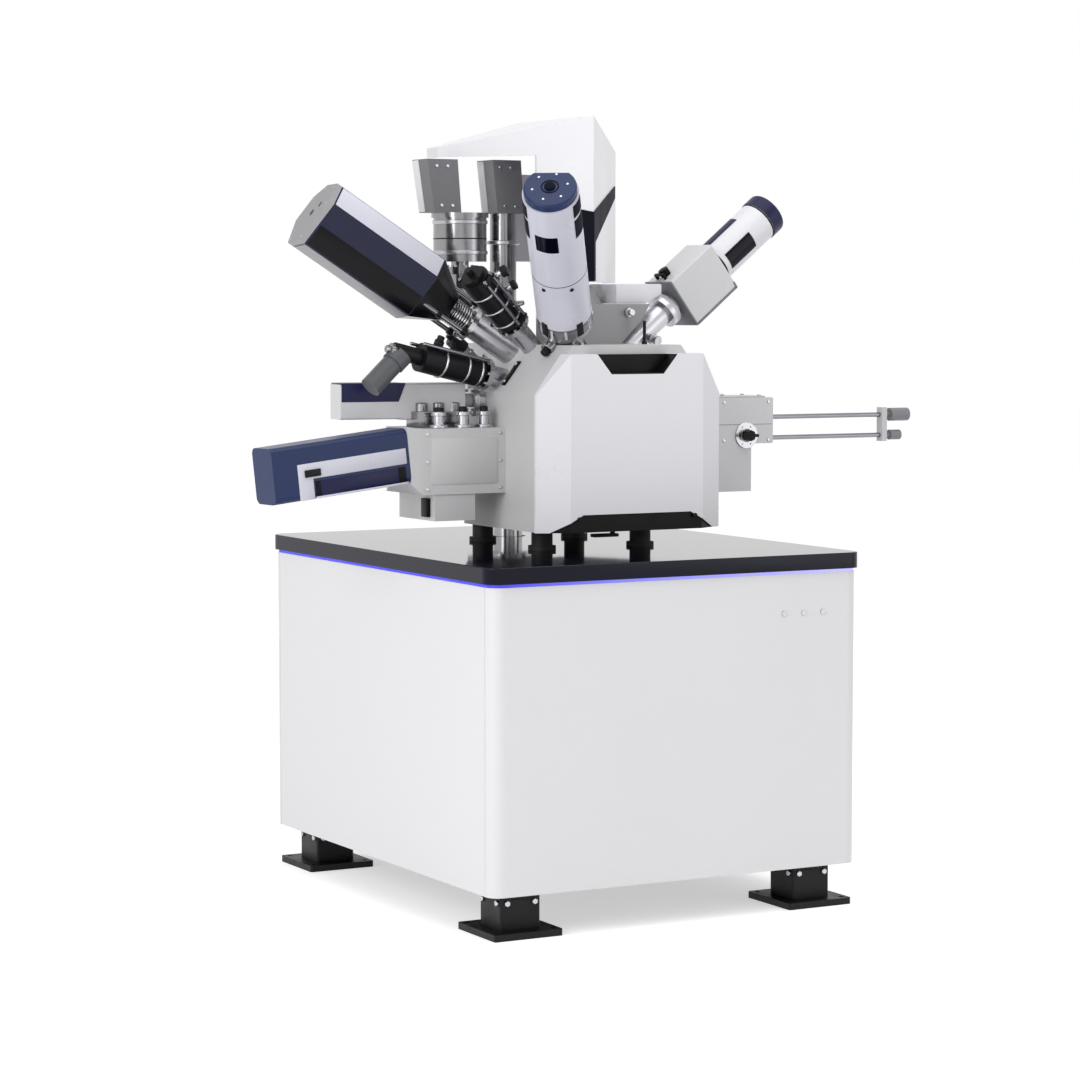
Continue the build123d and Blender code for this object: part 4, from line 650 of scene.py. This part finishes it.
# Door, feet and cabinet details
piece("door_hinge_buffers", "door", "black_trim", moulded_black,
      *[pin(6, 404.2, 407, shifted(FRONT, x, 945), 1.2, 24) for x in (-160, 160)])
piece("foot_screws", "base", "stainless", steel_ground,
      *[hexagon(15, 52, 57, place((x, y, 78), (1, 0, 0), (0, 0, 1), (0, -1, 0)), 0.8)
        for x in (-436, -364, 364, 436) for y in FOOT_Y],
      *[hexagon(15, 52, 57, place((x, y, 78), (0, -1, 0), (0, 0, 1), (-1, 0, 0)), 0.8)
        for x in FOOT_X for y in (-541, -469, 469, 541)])
piece("foot_levelling_rings", "base", "foot_paint", powder_black,
      *[collar(47, 58, 86, 94, upright(x, y), 1.6) for x in FOOT_X for y in FOOT_Y])
piece("power_inlet_plate", "base", "frame_steel", frame_grey,
      plate([(-420, 170), (-290, 170), (-290, 240), (-420, 240)], 606, 609, BACK, 1.0),
      *[pin(4, 609, 611, shifted(BACK, x, z), 0.8, 20) for x in (-412, -298) for z in (178, 232)])
piece("power_inlet_sockets", "base", "black_trim", moulded_black,
      plate([(-408, 184), (-362, 184), (-362, 222), (-368, 228), (-402, 228), (-408, 222)], 608.6, 612,
            BACK, 1.5),
      plate([(-346, 188), (-310, 188), (-310, 224), (-346, 224)], 608.6, 613, BACK, 1.5))

# Chamber: fittings on the left box, gauge, strap, lever and valve ring
piece("left_box_fittings", "base", "stainless", steel_ground,
      *[collar(9, 22, 1157, 1165, upright(x, y), 1.2) for x, y in BOX_FITTINGS],
      *[pin(13, 1160, 1190, upright(x, y), 2.0) for x, y in BOX_FITTINGS],
      *[collar(9, 18, 1186, 1196, upright(x, y), 1.2) for x, y in BOX_FITTINGS])
piece("left_box_manifold", "base", "stainless", steel_dark,
      block((-440, -300), (-112, -46), (1157, 1196), WORLD, 4.0),
      *[pin(15, 1194, 1216, upright(x, -80), 2.0) for x in (-414, -370, -326)])
piece("left_box_plugs", "base", "black_anodised", anodised,
      *[pin(10, 1194, 1208, upright(x, y), 2.0) for x, y in BOX_FITTINGS[1:]],
      knurled(13, 1194, 1206, upright(*BOX_FITTINGS[0]), 18))
piece("left_box_screws", "base", "stainless", steel_ground,
      *[pin(4, 184.8, 187.6, shifted(FRONT, x, z), 0.8, 20)
        for x in (-450, -254) for z in (1013, 1078, 1144)])
piece("left_box_lid", "base", "chamber_paint", chamber_grey,
      plate([(-440, 1024), (-264, 1024), (-264, 1134), (-440, 1134)], 184.8, 187, FRONT, 1.0))
piece("left_box_latch", "base", "black_trim", moulded_black,
      block((-441, -430.5), (-160, -128), (945, 990), WORLD, 2.0))
piece("shoulder_strap", "base", "black_trim", moulded_black,
      plate([(-9, -36), (9, -36), (9, 36), (-9, 36)], 0.2, 4, SHOULDER, 1.2))
piece("shoulder_strap_screws", "base", "stainless", steel_ground,
      *[pin(4.5, 4, 7, shifted(SHOULDER, 0, y), 1.0, 20) for y in (-26, 26)])
piece("vacuum_gauge", "base", "stainless", steel_dark,
      collar(8, 27, 0, 9, GAUGE, 1.2), collar(8, 27, 9.6, 18, GAUGE, 1.2), pin(14, 14, 62, GAUGE, 2.0),
      collar(12, 17, 40, 48, GAUGE, 1.0))
piece("vacuum_gauge_head", "base", "black_anodised", anodised,
      pin(20, 60, 104, GAUGE, 3.0), pin(8, 102, 116, GAUGE, 1.5))
piece("floor_lever", "base", "black_trim", moulded_black,
      block((-66, 2), (-312, -290), (893, 901), WORLD, 1.6), pin(6, 898, 912.5, upright(-10, -301), 0.8, 24))
piece("valve_ring", "base", "stainless", steel_ground,
      collar(17, 33, 149.5, 153.4, VALVE, 1.0),
      *[pin(2.6, 152, 155.4, shifted(VALVE, x, z), 0.5, 16) for x, z in ring_of(6, 25)])
piece("valve_grip", "valve", "black_trim", moulded_black,
      plate([(-24, -4), (24, -4), (24, 4), (-24, 4)], 166, 174.6, VALVE, 2.0))
piece("load_lock_seams", "base", "black_trim", dark_grey,
      plate([(250, 1149), (542, 1149), (542, 1150.4), (250, 1150.4)], 149.6, 150.3, FRONT, 0.1))
piece("load_lock_screws", "base", "stainless", steel_ground,
      *[pin(4, 149.8, 152.4, shifted(FRONT, x, z), 0.8, 20) for x in (262, 400, 532) for z in (1110, 1206)])
piece("load_lock_lid", "base", "chamber_paint", chamber_grey,
      block((276, 528), (-140, -40), (1216.6, 1221), WORLD, 1.6),
      *[pin(5, 1220, 1224, upright(x, y), 1.0, 20) for x in (288, 516) for y in (-130, -50)])
piece("load_lock_sight_glass", "base", "black_trim", dark_glass,
      pin(20, 1220, 1223.5, upright(402, -90), 0.6))
piece("load_lock_sight_rim", "base", "stainless", steel_ground,
      collar(20.2, 30, 1220.4, 1226, upright(402, -90), 1.2))
piece("rod_seals", "base", "stainless", steel_ground,
      *[collar(6.6, 13, 545.6, 560, place((0, -90, z), (0, 1, 0), (0, 0, 1), (1, 0, 0)), 1.4)
        for z in (1165, 1112)])

# Lens: white upper cover, water fittings and the stalk beside it
piece("lens_upper_cover", "base", "white_shell", satin_white,
      plate([(76, 1454), (162, 1454), (206, 1478), (206, 1502), (76, 1502)], 28, 168, FRONT, 3.0))
piece("lens_fittings", "base", "stainless", steel_ground,
      *[pin(8, 188, 214, shifted(FRONT, x, z), 1.4) for x, z in ((-22, 1432), (96, 1432))],
      *[hexagon(24, 190, 200, shifted(FRONT, x, z), 0.8) for x, z in ((-22, 1432), (96, 1432))])
piece("lens_lower_band", "base", "black_trim", moulded_black, collar(58.2, 60.5, 1357, 1366, COLUMN, 0.6, 64))
MANIPULATOR_SIDE = sideways(MANIPULATOR, 250, 200)
piece("manipulator_port_fitting", "base", "stainless", steel_ground,
      pin(9, 28, 66, MANIPULATOR_SIDE, 1.6), collar(6, 14, 40, 50, MANIPULATOR_SIDE, 1.0),
      collar(6, 13, 60, 66.5, MANIPULATOR_SIDE, 1.0))
piece("lens_stalk", "base", "black_anodised", anodised,
      pin(4, 1354, 1412, upright(120, -230), 1.0, 20), pin(7, 1354, 1362, upright(120, -230), 1.0, 24))

# Getter pump: off-white strips and side screws on its magnets, and clamp bands; the off-white strips are
# painted highlight for the lit left faces of the magnets
for name, low_x, high_x, top in (("left", -313, -332, 1805), ("right", -138, -152, 1806)):
    # Painted highlight: a white sheet on the rear part of each magnet's left face, standing for the light
    # that falls on that face
    strip = [(low_x + 1, 1679), (high_x + 1, top), (high_x - 1.6, top), (low_x - 1.6, 1679)]
    piece(f"magnet_strip_{name}", "base", "white_shell", satin_white, plate(strip, -131, -98, FRONT, 0.6))
    piece(f"magnet_screws_{name}", "base", "stainless", steel_ground,
          *[pin(4, -48.4, -45, shifted(FRONT, low_x + 22 + 30 * i - 0.14 * (z - 1677), z), 0.8, 20)
            for i in (0, 1) for z in (1694, 1790)])
piece("getter_bands", "base", "stainless", steel_ground,
      *[collar(65.4, 68.6, z, z + 9, GETTER, 1.2, 64) for z in (1575, 1650)])
piece("getter_seam", "base", "black_anodised", anodised, collar(65.2, 66.6, 1612, 1615, GETTER, 0.3, 64))
piece("manifold_rings", "base", "stainless", steel_ground,
      *[collar(32.4, 42, z, z + 10, MANIFOLD, 1.4, 48) for z in (1440, 1451, 1600)])

# Column cover: service panel at the back with its screws
piece("cover_rear_panel", "base", "white_shell", satin_white,
      plate([(-40, 1560), (200, 1560), (200, 1780), (-40, 1780)], 204.6, 207, BACK_WIDE, 1.0))
piece("cover_rear_screws", "base", "stainless", steel_ground,
      *[pin(4, 206.6, 209, shifted(BACK_WIDE, x, z), 0.8, 20) for x in (-30, 80, 190) for z in (1570, 1770)])

# Floor, light and background, in metres; the gap keeps the floor from the feet's own undersides
FLOOR_SIZE = 30
FLOOR_GAP = 0.0005
floor_mesh = bpy.data.meshes.new("floor")
floor_shape = bmesh.new()
bmesh.ops.create_grid(floor_shape, x_segments=1, y_segments=1, size=FLOOR_SIZE)
floor_shape.to_mesh(floor_mesh)
floor_shape.free()
floor = bpy.data.objects.new("floor", floor_mesh)
floor.location = (0, 0, -FLOOR_GAP)
bpy.context.scene.collection.objects.link(floor)


def seen(tree):
    """1 where the camera, a reflection or a clear view meets the surface, otherwise 0."""
    path = add(tree, "ShaderNodeLightPath")
    first = add(tree, "ShaderNodeMath", {"operation": "MAXIMUM"},
                {0: path.outputs["Is Camera Ray"], 1: path.outputs["Is Glossy Ray"]})
    both = add(tree, "ShaderNodeMath", {"operation": "MAXIMUM"},
               {0: first.outputs[0], 1: path.outputs["Is Transmission Ray"]})
    return both.outputs[0]


# Pale paper sweep: its colour keeps the shadow, and what the camera sees is lifted to white
paper = bpy.data.materials.new("pale_paper_floor")
paper.use_nodes = True
tree = paper.node_tree
tree.nodes.clear()
pale = add(tree, "ShaderNodeBsdfDiffuse", None, {"Color": linear("#f4f4f5")})
lift = add(tree, "ShaderNodeEmission", None, {"Color": linear("#ffffff"), "Strength": FLOOR_LIFT})
lifted = add(tree, "ShaderNodeAddShader", None, {0: pale.outputs[0], 1: lift.outputs[0]})
chosen = add(tree, "ShaderNodeMixShader", None, {0: seen(tree), 1: pale.outputs[0], 2: lifted.outputs[0]})
add(tree, "ShaderNodeOutputMaterial", None, {"Surface": chosen.outputs[0]})
floor_mesh.materials.append(paper)

world = bpy.data.worlds.new("studio")
bpy.context.scene.world = world
world.use_nodes = True
tree = world.node_tree
tree.nodes.clear()
soft = add(tree, "ShaderNodeBackground", None, {"Color": linear("#fafafb"), "Strength": WORLD_LIGHT})
white = add(tree, "ShaderNodeBackground", None, {"Color": linear("#ffffff"), "Strength": 1.0})
chosen = add(tree, "ShaderNodeMixShader", None, {0: seen(tree), 1: soft.outputs[0], 2: white.outputs[0]})
add(tree, "ShaderNodeOutputWorld", None, {"Surface": chosen.outputs[0]})


def soft_box(name, spot, size, power):
    """A square lamp that faces the machine."""
    data = bpy.data.lights.new(name, "AREA")
    data.size = size
    data.energy = power
    lamp = bpy.data.objects.new(name, data)
    lamp.location = spot
    lamp.rotation_euler = (LAMP_TARGET - Vector(spot)).to_track_quat("-Z", "Y").to_euler()
    bpy.context.scene.collection.objects.link(lamp)


for name, spot, size, power in LAMPS:
    soft_box(name, spot, size, power)
